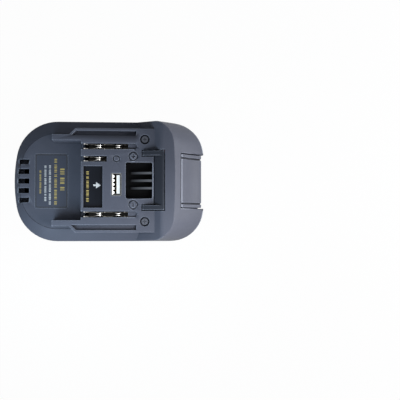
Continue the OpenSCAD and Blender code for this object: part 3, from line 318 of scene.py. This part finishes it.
class Finish(Nodes):
    """A material, the nodes that make it and its main shader."""

    def __init__(self, name):
        self.material = bpy.data.materials.new(name)
        self.material.use_nodes = True
        super().__init__(self.material.node_tree)
        self.shader = self.tree.nodes["Principled BSDF"]

    def set(self, **values):
        """Feeds sockets of the main shader; an underscore in a name stands for a space."""
        for key, value in values.items():
            self.feed(self.shader.inputs[key.replace("_", " ")], value)
        return self

    def place(self):
        """Place of a point in the part's own frame."""
        return self.node("ShaderNodeTexCoord", output="Object")

    def axes(self):
        """That place as X, Y and Z."""
        split = self.node("ShaderNodeSeparateXYZ", {}, {0: self.place()}).link.node
        return [Socket(self, out) for out in split.outputs]

    def noise(self, size, detail, stretch=(1, 1, 1)):
        """Noise from 0 to 1 whose patches are about as long as size."""
        scaled = self.node("ShaderNodeVectorMath", {"operation": "MULTIPLY"}, {0: self.place(), 1: stretch})
        inputs = {"Vector": scaled, "Scale": 1 / size, "Detail": detail}
        return self.node("ShaderNodeTexNoise", {}, inputs)

    def bump(self, height, depth, strength):
        """Normal of a surface with fine relief."""
        return self.node("ShaderNodeBump", {}, {"Height": height, "Distance": depth, "Strength": strength})

    def nearby(self, reach, inside):
        """How much of the surface near a point closes it in, from 0 to 1; from inside, edges stand out."""
        settings = {"samples": 8, "inside": inside, "only_local": True}
        return 1 - self.node("ShaderNodeAmbientOcclusion", settings, {"Distance": reach}, output="AO")


def shade(tone, factor):
    """Darker or paler form of a colour."""
    return tuple(c * factor for c in tone)


def moulded_plastic(name, tone, settings):
    """Textured plastic with faint patches, paler edges that are partly wear and partly a painted highlight,
    and painted shade in crevices.
    """
    finish = Finish(name)
    grain = finish.noise(settings.grain, 3)
    cloud = finish.noise(settings.cloud, 4)
    body = finish.mix(cloud, shade(tone, 0.86), shade(tone, 1.12))
    body = finish.mix(grain, body, finish.mix(0.18, body, shade(tone, 3)))
    # Paler convex edges: partly wear, partly a painted highlight
    edge = finish.nearby(settings.wear_and_highlight, True) - settings.wear_and_highlight_start
    body = finish.mix(edge * settings.wear_and_highlight_strength, body, settings.edge)
    # Painted shade in crevices and corners
    painted_crevice_shade = finish.nearby(settings.painted_crevice_shade, False) - settings.painted_crevice_shade_start
    body = finish.mix(painted_crevice_shade * settings.painted_crevice_shade_strength, body, shade(tone, 0.12))
    finish.set(Base_Color=body, Roughness=0.42 + grain * 0.16, Specular_IOR_Level=0.16)
    return finish.set(Normal=finish.bump(grain, settings.grain_depth, 0.55)).material


def black_moulding(name, settings, painted_light=None):
    """Black plastic; its last argument gives two heights between which it pales towards the top: painted
    light above, painted shade below.
    """
    finish = Finish(name)
    grain = finish.noise(settings.grain, 2)
    body = finish.mix(grain, settings.black, shade(settings.black, 1.8))
    if painted_light:
        low, high = painted_light
        # Painted light: paler towards the top, darker lower down
        share = (finish.axes()[2] - low) * (1 / (high - low))
        body = finish.mix(share, body, settings.painted_light)
    finish.set(Base_Color=body, Roughness=0.5 + grain * 0.2, Specular_IOR_Level=0.08)
    return finish.set(Normal=finish.bump(grain, settings.grain_depth, 0.4)).material


def label_film(settings):
    """Satin film with a faint mottle."""
    finish = Finish("label_film")
    mottle = finish.noise(0.5 * MM, 3)
    body = finish.mix(mottle, shade(settings.film, 0.9), shade(settings.film, 1.1))
    finish.set(Base_Color=body, Roughness=0.36 + mottle * 0.12, Specular_IOR_Level=0.16)
    return finish.set(Normal=finish.bump(mottle, 0.01 * MM, 0.3)).material


def gloss_black(settings):
    """Glossy black with faint smears."""
    finish = Finish("gloss_black")
    smear = finish.noise(6 * MM, 4, (1, 0.4, 1))
    finish.set(Base_Color=finish.mix(smear, settings.gloss, shade(settings.gloss, 2)))
    return finish.set(Roughness=0.2 + smear * 0.2, Specular_IOR_Level=0.09).material


def plated(name, tone, rough, stretch, painted_light=None):
    """Plated metal with drawing lines; its last argument gives two heights between which it darkens
    downwards, as painted shade.
    """
    finish = Finish(name)
    lines = finish.noise(0.35 * MM, 3, stretch)
    stain = finish.noise(2.5 * MM, 4)
    body = finish.mix(stain, shade(tone, 0.82), tone)
    if painted_light:
        low, high = painted_light
        share = (finish.axes()[2] - low) * (1 / (high - low))
        # Painted shade: the metal darkens downwards into its slot or socket
        body = finish.mix(share, shade(tone, 0.03), body)
    finish.set(Base_Color=body, Metallic=1.0, Roughness=rough + lines * 0.12)
    return finish.set(Normal=finish.bump(lines, 0.006 * MM, 0.4)).material


def ink(name, tone):
    """Printed ink with faint specks."""
    finish = Finish(name)
    speck = finish.noise(0.25 * MM, 2)
    body = finish.mix(speck, shade(tone, 0.75), tone)
    return finish.set(Base_Color=body, Roughness=0.42 + speck * 0.15).material


def nylon(settings):
    """White nylon with faint patches."""
    finish = Finish("white_nylon")
    cloud = finish.noise(1.5 * MM, 3)
    body = finish.mix(cloud, shade(settings.nylon, 0.92), settings.nylon)
    return finish.set(Base_Color=body, Roughness=0.4 + cloud * 0.1).material


def solder_mask(settings):
    """Green board whose tracks show as paler bands under the mask."""
    finish = Finish("solder_mask")
    x, y, _ = finish.axes()
    pitch = 1.1 * MM
    gap = 0.72 * MM
    bands = finish.node("ShaderNodeMath", {"operation": "PINGPONG"}, {0: y + x * 0.4, 1: pitch}) > gap
    cloud = finish.noise(3 * MM, 3)
    body = finish.mix(bands * 0.6, settings.mask, shade(settings.mask, 1.9))
    finish.set(Base_Color=body, Roughness=0.22 + cloud * 0.14)
    return finish.set(Normal=finish.bump(bands, 0.03 * MM, 0.5)).material


def sleeved(name, tone, rough):
    """Smooth sleeve of a wire or can, a little uneven."""
    finish = Finish(name)
    cloud = finish.noise(1.2 * MM, 3)
    body = finish.mix(cloud, shade(tone, 0.8), shade(tone, 1.15))
    finish.set(Base_Color=body, Roughness=rough + cloud * 0.12)
    return finish.set(Normal=finish.bump(cloud, 0.02 * MM, 0.3)).material


def dress(piece, material):
    """Gives a piece one material all over."""
    piece.data.materials.clear()
    piece.data.materials.append(material)
    return piece


def finish_edges(node, radius, steps=2):
    """Rounds the edges of a plain CAD node with modifiers and leaves its mesh as it is."""
    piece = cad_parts[node]
    flat = piece.modifiers.new("join_flat_faces", "DECIMATE")
    flat.decimate_type = "DISSOLVE"
    flat.angle_limit = FLAT_ANGLE
    bevel = piece.modifiers.new("round_edges", "BEVEL")
    bevel.width = radius
    bevel.segments = steps
    bevel.limit_method = "ANGLE"
    bevel.angle_limit = SHARP_ANGLE
    normals = piece.modifiers.new("even_shading", "WEIGHTED_NORMAL")
    normals.keep_sharp = True
    return piece


def new_piece(name, mesh, body):
    """Object that rides on a body."""
    piece = bpy.data.objects.new(name, mesh)
    bpy.context.scene.collection.objects.link(piece)
    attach(piece, body)
    return piece


def flat_copy(node, weld=0.004 * MM):
    """Mesh of a CAD node with its flat faces joined."""
    made = bmesh.new()
    made.from_mesh(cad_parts[node].data)
    bmesh.ops.remove_doubles(made, verts=made.verts, dist=weld)
    bmesh.ops.dissolve_limit(made, angle_limit=FLAT_ANGLE, verts=made.verts, edges=made.edges)
    made.edges.ensure_lookup_table()
    return made


def roomy(edge, radius, turn=math.radians(25), room=1.1):
    """True for a sharp edge whose two faces are wide enough to be rounded."""
    if len(edge.link_faces) != 2 or edge.calc_face_angle() < turn:
        return False
    return all(2 * f.calc_area() / f.calc_perimeter() > room * radius for f in edge.link_faces)


def astray(made, plain, radius, stray=0.45, turned=-0.3):
    """Places where the rounding has left the plain surface or turned a face over."""
    places = [v.co.copy() for v in made.verts if plain.find_nearest(v.co)[3] > stray * radius]
    for face in made.faces:
        middle = face.calc_center_median()
        if face.normal.dot(plain.find_nearest(middle)[1]) < turned:
            places.append(middle)
    return places


def piece_of(name, made):
    """Piece on the housing from a finished bmesh."""
    bmesh.ops.recalc_face_normals(made, faces=made.faces)
    mesh = bpy.data.meshes.new(name)
    made.to_mesh(mesh)
    made.free()
    return new_piece(name, mesh, "housing")


def rounded_copy(name, node, body, radius, steps=2, tries=3, reach=1.2, crease=math.radians(50)):
    """Copy of a CAD node that stands for it, with rounded edges wherever the rounding comes out clean."""
    kept_sharp = set()
    for attempt in range(tries):
        made = flat_copy(node)
        plain = BVHTree.FromBMesh(made)
        sharp = [e for e in made.edges if e.index not in kept_sharp and roomy(e, radius)]
        ends = {e.index: [v.co.copy() for v in e.verts] for e in sharp}
        bmesh.ops.bevel(made, geom=sharp, offset=radius, offset_type="OFFSET", segments=steps, profile=0.5,
                        affect="EDGES", clamp_overlap=False, loop_slide=True)
        bmesh.ops.triangulate(made, faces=[f for f in made.faces if len(f.verts) > 4])
        faults = astray(made, plain, radius)
        if not faults or attempt == tries - 1:
            break
        made.free()
        for index, (a, b) in ends.items():
            for fault in faults:
                near, share = intersect_point_line(fault, a, b)
                near = a if share < 0 else b if share > 1 else near
                if (near - fault).length < reach * radius:
                    kept_sharp.add(index)
    mesh = bpy.data.meshes.new(name)
    made.to_mesh(mesh)
    made.free()
    mesh.shade_smooth()
    mesh.set_sharp_from_angle(angle=crease)
    piece = new_piece(name, mesh, body)
    piece.modifiers.new("even_shading", "WEIGHTED_NORMAL").keep_sharp = True
    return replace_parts(piece, node)


def deck_shade_line(settings, reach=1 * MM, lift=0.01 * MM, level=0.999, slopes=(0.3, 0.995)):
    """Painted shade of a shallow groove, as a dark strip where the rear deck meets its sloping shoulder;
    level and slopes are upward shares.
    """
    plain = flat_copy("upper_housing")
    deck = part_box("name_plate")[0].z
    made = bmesh.new()
    for edge in plain.edges:
        if len(edge.link_faces) != 2 or any(abs(v.co.z - deck) > reach for v in edge.verts):
            continue
        flat, slope = sorted(edge.link_faces, key=lambda face: -face.normal.z)
        if flat.normal.z < level or not slopes[0] < slope.normal.z < slopes[1]:
            continue
        a, b = (v.co + Vector((0, 0, lift)) for v in edge.verts)
        across = Vector((slope.normal.x, slope.normal.y, 0)).normalized() * settings.seam
        made.faces.new([made.verts.new(p) for p in (a, b, b - across, a - across)])
    plain.free()
    bmesh.ops.remove_doubles(made, verts=made.verts, dist=lift)
    return piece_of("deck_shade_line", made)


class ADAPTER_OT_shells(bpy.types.Operator):
    """Round the two shells and give them their textured plastic"""

    bl_idname = "adapter.shells"
    bl_label = "Shells"

    def execute(self, context):
        settings = context.scene.adapter_shells
        plastic = moulded_plastic("slate_plastic", settings.plastic, settings)
        for name, node in (("top_shell", "upper_housing"), ("bottom_shell", "lower_housing")):
            dress(rounded_copy(name, node, "housing", settings.edge_radius), plastic)
        # Darker plastic for the painted groove shade around the rear deck
        line = moulded_plastic("deck_shade_plastic", shade(settings.plastic, settings.deck_shade_tone), settings)
        dress(deck_shade_line(settings), line)
        return {"FINISHED"}


class ADAPTER_OT_latch(bpy.types.Operator):
    """Round the latch and its button and give them their plastic"""

    bl_idname = "adapter.latch"
    bl_label = "Latch"

    def execute(self, context):
        settings = context.scene.adapter_shells
        # The latch's darker tone is partly painted shade
        for name, node, tone in (("latch_hook", "latch_slider", settings.latch),
                                 ("push_panel", "release_button", settings.plastic)):
            plastic = moulded_plastic(name + "_plastic", tone, settings)
            dress(rounded_copy(name, node, "release_latch", settings.edge_radius), plastic)
        return {"FINISHED"}


def spring_rings(settings, low, high, radius, steps=28, sides=10, dead=0.9):
    """Rings of wire along a coil spring; the dead share of a turn lies closed at each end."""
    wire = settings.wire / 2
    live = settings.turns - 2 * dead
    rise = (high - low - 2 * wire - 2 * dead * settings.wire) / live
    count = settings.turns * steps
    rings = []
    for i in range(count + 1):
        turn = i / steps
        first, last = min(turn, dead), max(turn - settings.turns + dead, 0)
        z = low + wire + (first + last) * settings.wire + (turn - first - last) * rise
        angle = 2 * math.pi * turn
        out = Vector((math.cos(angle), math.sin(angle), 0))
        ring = [out * (radius + wire * math.cos(2 * math.pi * k / sides))
                + Vector((0, 0, z + wire * math.sin(2 * math.pi * k / sides))) for k in range(sides)]
        rings.append(ring)
    return rings


def skin(made, first, second):
    """Faces between two closed loops of vertices."""
    for k in range(len(first)):
        j = (k + 1) % len(first)
        made.faces.new((first[k], first[j], second[j], second[k]))


def tube(made, rings):
    """Skins rings of points as one closed tube."""
    loops = [[made.verts.new(p) for p in ring] for ring in rings]
    for a, b in zip(loops, loops[1:]):
        skin(made, a, b)
    made.faces.new(loops[0][::-1])
    made.faces.new(loops[-1])


class ADAPTER_OT_springs(bpy.types.Operator):
    """Wind the two latch springs"""

    bl_idname = "adapter.springs"
    bl_label = "Latch springs"

    def execute(self, context):
        settings = context.scene.adapter_works
        low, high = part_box("latch_springs")
        outer = (high.x - low.x) / 2
        middle = (low.x + high.x) / 2
        side = high.y - outer
        made = bmesh.new()
        for y in (-side, side):
            rings = spring_rings(settings, low.z, high.z, outer - settings.wire / 2)
            tube(made, [[p + Vector((middle, y, 0)) for p in ring] for ring in rings])
        piece = piece_of("coil_springs", made)
        piece.data.shade_smooth()
        dress(piece, plated("spring_wire", settings.steel, 0.28, (1, 1, 0.2)))
        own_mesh(piece)
        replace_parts(piece, "latch_springs")
        return {"FINISHED"}


class ADAPTER_OT_grille(bpy.types.Operator):
    """Finish the black grille, the contact holders and the terminal block"""

    bl_idname = "adapter.grille"
    bl_label = "Black mouldings"

    def execute(self, context):
        settings = context.scene.adapter_shells
        low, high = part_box("vent_grille")
        # The grille bars pale towards their top: painted light and shade
        start = (low.z + high.z) / 2 - settings.painted_light_start
        bars = black_moulding("grille_plastic", settings, (start, high.z))
        dress(finish_edges("vent_grille", MOULDED_EDGE), bars)
        black = black_moulding("black_plastic", settings)
        for node in ("positive_clip_holder", "negative_clip_holder", "signal_clip_holder",
                     "battery_terminal_block", "regulator_chip", "diode"):
            dress(finish_edges(node, MOULDED_EDGE), black)
        return {"FINISHED"}


def block(made, low, high):
    """Plain box between two corners."""
    size = Vector(high) - Vector(low)
    middle = (Vector(high) + Vector(low)) / 2
    bmesh.ops.create_cube(made, size=1, matrix=Matrix.Translation(middle) @ Matrix.Diagonal((*size, 1)))


def leaf_clip(name, node, pinches, settings, steps=60):
    """Two sprung leaves that rise and close in at each pinch, on a base with a soldering lug."""
    low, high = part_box(node)
    middle = (low.y + high.y) / 2
    half = settings.leaf / 2
    rest = (high.y - low.y) / 2 - half
    end = high.x - settings.tail
    made = bmesh.new()
    for side in (1, -1):
        rings = []
        for i in range(steps + 1):
            x = low.x + (end - low.x) * i / steps
            near = min(1, min(abs(x - p) for p in pinches) / settings.reach)
            close = (1 + math.cos(math.pi * near)) / 2
            y = rest - (rest - settings.pinch - half) * close
            end_rise = max(0, 1 - min(x - low.x, end - x) / settings.end_rise)
            top = high.z - settings.dip * (1 - max(close, end_rise))
            rings.append([(x, middle + side * (y + out), z)
                          for out, z in ((half, low.z), (half, top), (-half, top), (-half, low.z))])
        tube(made, rings)
        y = middle + side * rest
        front = low.x - settings.lip
        bend = front + settings.lip_flat
        foot = high.z - settings.lip_h
        neck = high.z - settings.lip_h * settings.lip_drop
        profile = ((front, high.z), (bend, high.z), (bend + settings.lip_slope, neck), (low.x, neck))
        tube(made, [[(x, y - half, foot), (x, y + half, foot), (x, y + half, z), (x, y - half, z)]
                    for x, z in profile])
    block(made, (low.x, low.y, low.z), (high.x, high.y, low.z + settings.leaf))
    block(made, (high.x - settings.leaf, low.y, low.z), (high.x, high.y, low.z + settings.lug_h))
    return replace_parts(piece_of(name, made), node)


def socket_fingers(settings, count=5):
    """Sprung fingers along the rear wall of the socket, on a strip that leans against its rim."""
    low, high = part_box("usb_shell")
    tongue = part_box("usb_tongue")[0].x
    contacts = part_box("usb_contacts")
    # Four contacts, each half a pitch wide
    pitch = (contacts[1].y - contacts[0].y) / 3.5
    half_w = pitch * 0.27
    middle = (low.y + high.y) / 2
    wall = 0.4 * MM
    margin = 0.5 * MM
    strip_w = 0.6 * MM
    start_dip = 0.1 * MM
    knee_dip = 0.3 * MM
    tip_dip = 1.6 * MM
    made = bmesh.new()

    def strip(a, b, y0, y1):
        tube(made, [[(x, y0, z), (x, y1, z), (x, y1, z - settings.finger), (x, y0, z - settings.finger)]
                    for x, z in (a, b)])

    start = (low.x + wall, high.z - start_dip)
    knee = (start[0] + strip_w, high.z - knee_dip)
    tip = (tongue - margin, high.z - tip_dip)
    strip(start, knee, low.y + margin, high.y - margin)
    for i in range(count):
        y = middle + (i - (count - 1) / 2) * pitch
        strip(knee, tip, y - half_w, y + half_w)
    return piece_of("socket_fingers", made)


class ADAPTER_OT_contacts(bpy.types.Operator):
    """Make the leaf clips and plate the blades and the socket"""

    bl_idname = "adapter.contacts"
    bl_label = "Contacts"

    def execute(self, context):
        settings = context.scene.adapter_contacts
        plating = plated("contact_plating", settings.plating, 0.2, ALONG_X)
        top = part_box("positive_clip")[1].z
        # The leaves darken below their tops: painted shade in the slots
        heights = [top - depth for depth in settings.painted_leaf_shade]
        painted_leaf_shade = plated("painted_shade_plating", settings.plating, 0.24, ALONG_X, heights)
        for name, node, pinches in (("positive_leaves", "positive_clip", settings.power_pinches),
                                    ("negative_leaves", "negative_clip", settings.power_pinches),
                                    ("signal_leaves", "signal_clip", [settings.signal_pinch])):
            dress(leaf_clip(name, node, pinches, settings), painted_leaf_shade)
        for node in ("positive_blade", "negative_blade", "signal_blades"):
            dress(finish_edges(node, SHEET_EDGE), plating)
        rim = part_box("usb_shell")[1].z
        # The socket shell and its fingers darken downwards: painted shade in the socket
        heights = [rim - depth for depth in settings.painted_rim_shade]
        tin = plated("socket_tin", settings.tin, 0.3, ALONG_Z, heights)
        dress(finish_edges("usb_shell", SHEET_EDGE), tin)
        heights = [rim - depth for depth in settings.painted_finger_shade]
        bright = plated("finger_plating", settings.plating, 0.3, ALONG_Y, heights)
        dress(socket_fingers(settings), bright)
        gilt = plated("socket_gilt", settings.gilt, 0.24, ALONG_Z)
        dress(finish_edges("usb_contacts", CONTACT_EDGE), gilt)
        dress(finish_edges("usb_tongue", MOULDED_EDGE), nylon(settings))
        return {"FINISHED"}


def rounded_rectangle(x0, x1, y0, y1, r):
    """Points around a rectangle with round corners, anticlockwise."""
    points = []
    corners = ((x1 - r, y1 - r, 0), (x0 + r, y1 - r, 90), (x0 + r, y0 + r, 180), (x1 - r, y0 + r, 270))
    for x, y, start in corners:
        for step in (0, 30, 60, 90):
            a = math.radians(start + step)
            points.append((x + r * math.cos(a), y + r * math.sin(a)))
    return points


def prism(made, points, z, thick):
    """Flat print with the given outline."""
    bottom = [made.verts.new((x, y, z)) for x, y in points]
    top = [made.verts.new((x, y, z + thick)) for x, y in points]
    made.faces.new(top)
    made.faces.new(bottom[::-1])
    skin(made, bottom, top)


def bar(made, x, y, height, width, z, thick):
    """Printed bar with round corners: height along X, width along Y."""
    r = min(height, width) * 0.25
    points = rounded_rectangle(x - height / 2, x + height / 2, y - width / 2, y + width / 2, r)
    prism(made, points, z, thick)


def print_row(made, x, y0, y1, height, z, thick, phase, gap=0.24, space=0.5):
    """Row of plain marks in uneven groups from y0 down to y1; gap and space are shares of the height."""
    y = y0
    k = phase
    left = 3
    while True:
        width = height * (0.3 + 0.13 * math.sin(2.4 * k))
        if y - width < y1:
            break
        bar(made, x, y - width / 2, height, width, z, thick)
        y -= width + height * gap
        k += 1
        left -= 1
        if left == 0:
            y -= height * space
            left = 2 + int(3 + 2.9 * math.sin(1.7 * k))


class ADAPTER_OT_prints(bpy.types.Operator):
    """Finish the two plates and print plain bars and an arrow on them"""

    bl_idname = "adapter.prints"
    bl_label = "Plates and prints"

    def execute(self, context):
        settings = context.scene.adapter_prints
        dress(finish_edges("name_plate", SHEET_EDGE), label_film(settings))
        dress(finish_edges("usb_plate", PLATE_EDGE), gloss_black(settings))
        gold = ink("gold_ink", settings.gold)
        white = ink("white_ink", settings.white)
        border = ink("border_ink", settings.border)
        thick = settings.ink
        for name, material, rows in (("gold_print", gold, GOLD_ROWS), ("white_print", white, WHITE_ROWS)):
            made = bmesh.new()
            for plate, x, start, end, height, phase in rows:
                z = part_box(plate)[1].z
                print_row(made, x * MM, start * MM, end * MM, height * MM, z, thick, phase)
            dress(piece_of(name, made), material)
        dress(self.label_line(settings), border)
        made = bmesh.new()
        prism(made, [(x * MM, y * MM) for x, y in ARROW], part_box("usb_plate")[1].z, thick)
        dress(piece_of("socket_arrow", made), white)
        return {"FINISHED"}

    def label_line(self, settings):
        """Thin line around the name plate."""
        low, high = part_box("name_plate")
        z = high.z + settings.ink
        made = bmesh.new()
        loops = []
        for inset in (settings.line_out, settings.line_in):
            points = rounded_rectangle(low.x + inset, high.x - inset, low.y + inset, high.y - inset,
                                       settings.line_r - inset)
            loops.append([made.verts.new((x, y, z)) for x, y in points])
        skin(made, *loops)
        return piece_of("label_border", made)


class ADAPTER_OT_works(bpy.types.Operator):
    """Finish the circuit board, its parts and the leads"""

    bl_idname = "adapter.works"
    bl_label = "Works"

    def execute(self, context):
        settings = context.scene.adapter_works
        finishes = {
            "circuit_board": solder_mask(settings),
            "inductor": sleeved("ferrite", settings.ferrite, 0.5),
            "capacitors": sleeved("can_sleeve", settings.sleeve, 0.25),
            "positive_lead": sleeved("red_sleeve", settings.red_wire, 0.4),
            "negative_lead": sleeved("black_sleeve", settings.black_wire, 0.4),
        }
        for node, material in finishes.items():
            dress(finish_edges(node, PLATE_EDGE), material)
        return {"FINISHED"}


def ring_points(r, z, count=32):
    """Points around an upright axis."""
    angles = [2 * math.pi * k / count for k in range(count)]
    return [(r * math.cos(a), r * math.sin(a), z) for a in angles]


def sunk_screw(made, middle, head_r, top, low, settings, taper=0.7):
    """Screw with a round head, a cross recess that tapers to its floor, and a plain shank."""
    start = len(made.verts)
    neck = top - settings.head_h
    shank_r = settings.shank_r
    profile = [(head_r - inward * MM, top - down * MM) for inward, down in HEAD_RIM]
    profile += [(head_r, neck), (shank_r, neck), (shank_r, low)]
    loops = [[made.verts.new(p) for p in ring_points(r, z)] for r, z in profile]
    for a, b in zip(loops, loops[1:]):
        skin(made, b, a)
    made.faces.new(loops[-1][::-1])
    arm = settings.cross
    half = arm * 0.2
    outline = ((arm, half), (half, half), (half, arm), (-half, arm), (-half, half), (-arm, half),
               (-arm, -half), (-half, -half), (-half, -arm), (half, -arm), (half, -half), (arm, -half))
    rim = [made.verts.new((x, y, top)) for x, y in outline]
    pit = [made.verts.new((taper * x, taper * y, top - settings.cross_d)) for x, y in outline]
    edges = []
    for loop in (loops[0], rim):
        for k in range(len(loop)):
            pair = (loop[k], loop[(k + 1) % len(loop)])
            edges.append(made.edges.get(pair) or made.edges.new(pair))
    bmesh.ops.triangle_fill(made, use_beauty=True, edges=edges)
    skin(made, rim, pit)
    made.faces.new(pit)
    made.verts.ensure_lookup_table()
    for v in made.verts[start:]:
        v.co += Vector((*middle, 0))


class ADAPTER_OT_screws(bpy.types.Operator):
    """Make the two sunk screws in the top and finish those underneath"""

    bl_idname = "adapter.screws"
    bl_label = "Screws"

    def execute(self, context):
        settings = context.scene.adapter_contacts
        plating = plated("screw_plating", settings.screw, 0.36, (1, 1, 1))
        low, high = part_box("top_screws")
        head_r = (high.x - low.x) / 2
        made = bmesh.new()
        for side in (1, -1):
            middle = ((low.x + high.x) / 2, side * (high.y - head_r))
            sunk_screw(made, middle, head_r, high.z, low.z, settings)
        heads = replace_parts(piece_of("sunk_screws", made), "top_screws")
        heads.data.set_sharp_from_angle(angle=SHARP_ANGLE)
        dress(heads, plating)
        dress(finish_edges("rear_screws", MOULDED_EDGE), plating)
        return {"FINISHED"}


def area_light(name, spot, aim, size, watts, tone=(1, 1, 1)):
    """Square light that the camera doesn't see."""
    lamp = bpy.data.lights.new(name, "AREA")
    lamp.size = size
    lamp.energy = watts
    lamp.color = tone
    made = bpy.data.objects.new(name, lamp)
    made.visible_camera = False
    made.location = spot
    made.rotation_euler = (Vector(aim) - Vector(spot)).to_track_quat("-Z", "Y").to_euler()
    bpy.context.scene.collection.objects.link(made)


def pale_floor(settings):
    """Floor that shows nearly white and keeps a soft shadow."""
    finish = Finish("pale_floor")
    finish.set(Base_Color=settings.floor, Roughness=0.9, Specular_IOR_Level=0.0)
    glow = finish.node("ShaderNodeEmission", {}, {"Color": (1, 1, 1), "Strength": 1.0})
    blend = finish.node("ShaderNodeMixShader", {}, {0: finish.seen() * 0.97, 2: glow})
    finish.tree.links.new(finish.shader.outputs[0], blend.link.node.inputs[1])
    finish.tree.links.new(blend.link, finish.tree.nodes["Material Output"].inputs["Surface"])
    return finish.material


class ADAPTER_OT_stage(bpy.types.Operator):
    """Make the floor, the lights and the camera"""

    bl_idname = "adapter.stage"
    bl_label = "Stage"

    def execute(self, context):
        settings = context.scene.adapter_stage
        mesh = bpy.data.meshes.new("floor")
        half = settings.floor_half
        corners = [(-half, -half, 0), (half, -half, 0), (half, half, 0), (-half, half, 0)]
        mesh.from_pydata(corners, [], [(0, 1, 2, 3)])
        floor = bpy.data.objects.new("floor", mesh)
        context.scene.collection.objects.link(floor)
        dress(floor, pale_floor(settings))
        world = bpy.data.worlds.new("studio")
        context.scene.world = world
        world.use_nodes = True
        sky = Nodes(world.node_tree)
        background = world.node_tree.nodes["Background"]
        seen = sky.seen()
        sky.feed(background.inputs["Color"], sky.mix(seen, settings.cool, (1, 1, 1)))
        sky.feed(background.inputs["Strength"], settings.sky + seen * (1 - settings.sky))
        aim = (0, 0, settings.light_aim)
        area_light("side_light", settings.side_place, aim, settings.side_size, settings.side, settings.cool)
        area_light("front_light", settings.front_place, aim, settings.front_size, settings.front)
        area_light("near_light", settings.near_place, aim, settings.near_size, settings.near)
        self.camera(context, settings)
        context.scene.view_settings.view_transform = "Standard"
        return {"FINISHED"}

    def camera(self, context, settings):
        """Camera over the part, turned so that the part lies where the photograph has it."""
        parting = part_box("upper_housing")[0].z
        stand = Vector((*settings.stand, parting + settings.rise))
        aim = Vector((*settings.aim, parting))
        back = (stand - aim).normalized()
        right = Vector((0, 1, 0)).cross(back).normalized()
        turn = Matrix((right, back.cross(right), back)).transposed()
        data = bpy.data.cameras.new("camera")
        data.lens = data.sensor_width * (aim - stand).length / settings.view_width
        made = bpy.data.objects.new("camera", data)
        made.matrix_world = Matrix.Translation(stand) @ turn.to_4x4()
        context.scene.collection.objects.link(made)
        context.scene.camera = made


class ADAPTER_PT_panel(bpy.types.Panel):
    """Lists the settings and operators of the adapter"""

    bl_idname = "ADAPTER_PT_panel"
    bl_label = "Adapter"
    bl_space_type = "VIEW_3D"
    bl_region_type = "UI"
    bl_category = "Adapter"

    def draw(self, context):
        for operator in OPERATORS:
            self.layout.operator(operator.bl_idname)
        for name in GROUPS:
            box = self.layout.box()
            group = getattr(context.scene, name)
            for key in group.bl_rna.properties.keys():
                if key not in ("rna_type", "name"):
                    box.prop(group, key)


GROUPS = {
    "adapter_shells": ShellSettings,
    "adapter_contacts": ContactSettings,
    "adapter_prints": PrintSettings,
    "adapter_works": WorksSettings,
    "adapter_stage": StageSettings,
}
OPERATORS = (
    ADAPTER_OT_stage,
    ADAPTER_OT_shells,
    ADAPTER_OT_latch,
    ADAPTER_OT_springs,
    ADAPTER_OT_grille,
    ADAPTER_OT_contacts,
    ADAPTER_OT_prints,
    ADAPTER_OT_works,
    ADAPTER_OT_screws,
)


def register():
    for cls in (*GROUPS.values(), *OPERATORS, ADAPTER_PT_panel):
        bpy.utils.register_class(cls)
    for name, group in GROUPS.items():
        setattr(bpy.types.Scene, name, PointerProperty(type=group))


def unregister():
    for name in GROUPS:
        delattr(bpy.types.Scene, name)
    for cls in reversed((*GROUPS.values(), *OPERATORS, ADAPTER_PT_panel)):
        bpy.utils.unregister_class(cls)


def main():
    register()
    bpy.ops.adapter.stage()
    bpy.ops.adapter.shells()
    bpy.ops.adapter.latch()
    bpy.ops.adapter.springs()
    bpy.ops.adapter.grille()
    bpy.ops.adapter.contacts()
    bpy.ops.adapter.prints()
    bpy.ops.adapter.works()
    bpy.ops.adapter.screws()


if __name__ == "__main__":
    main()
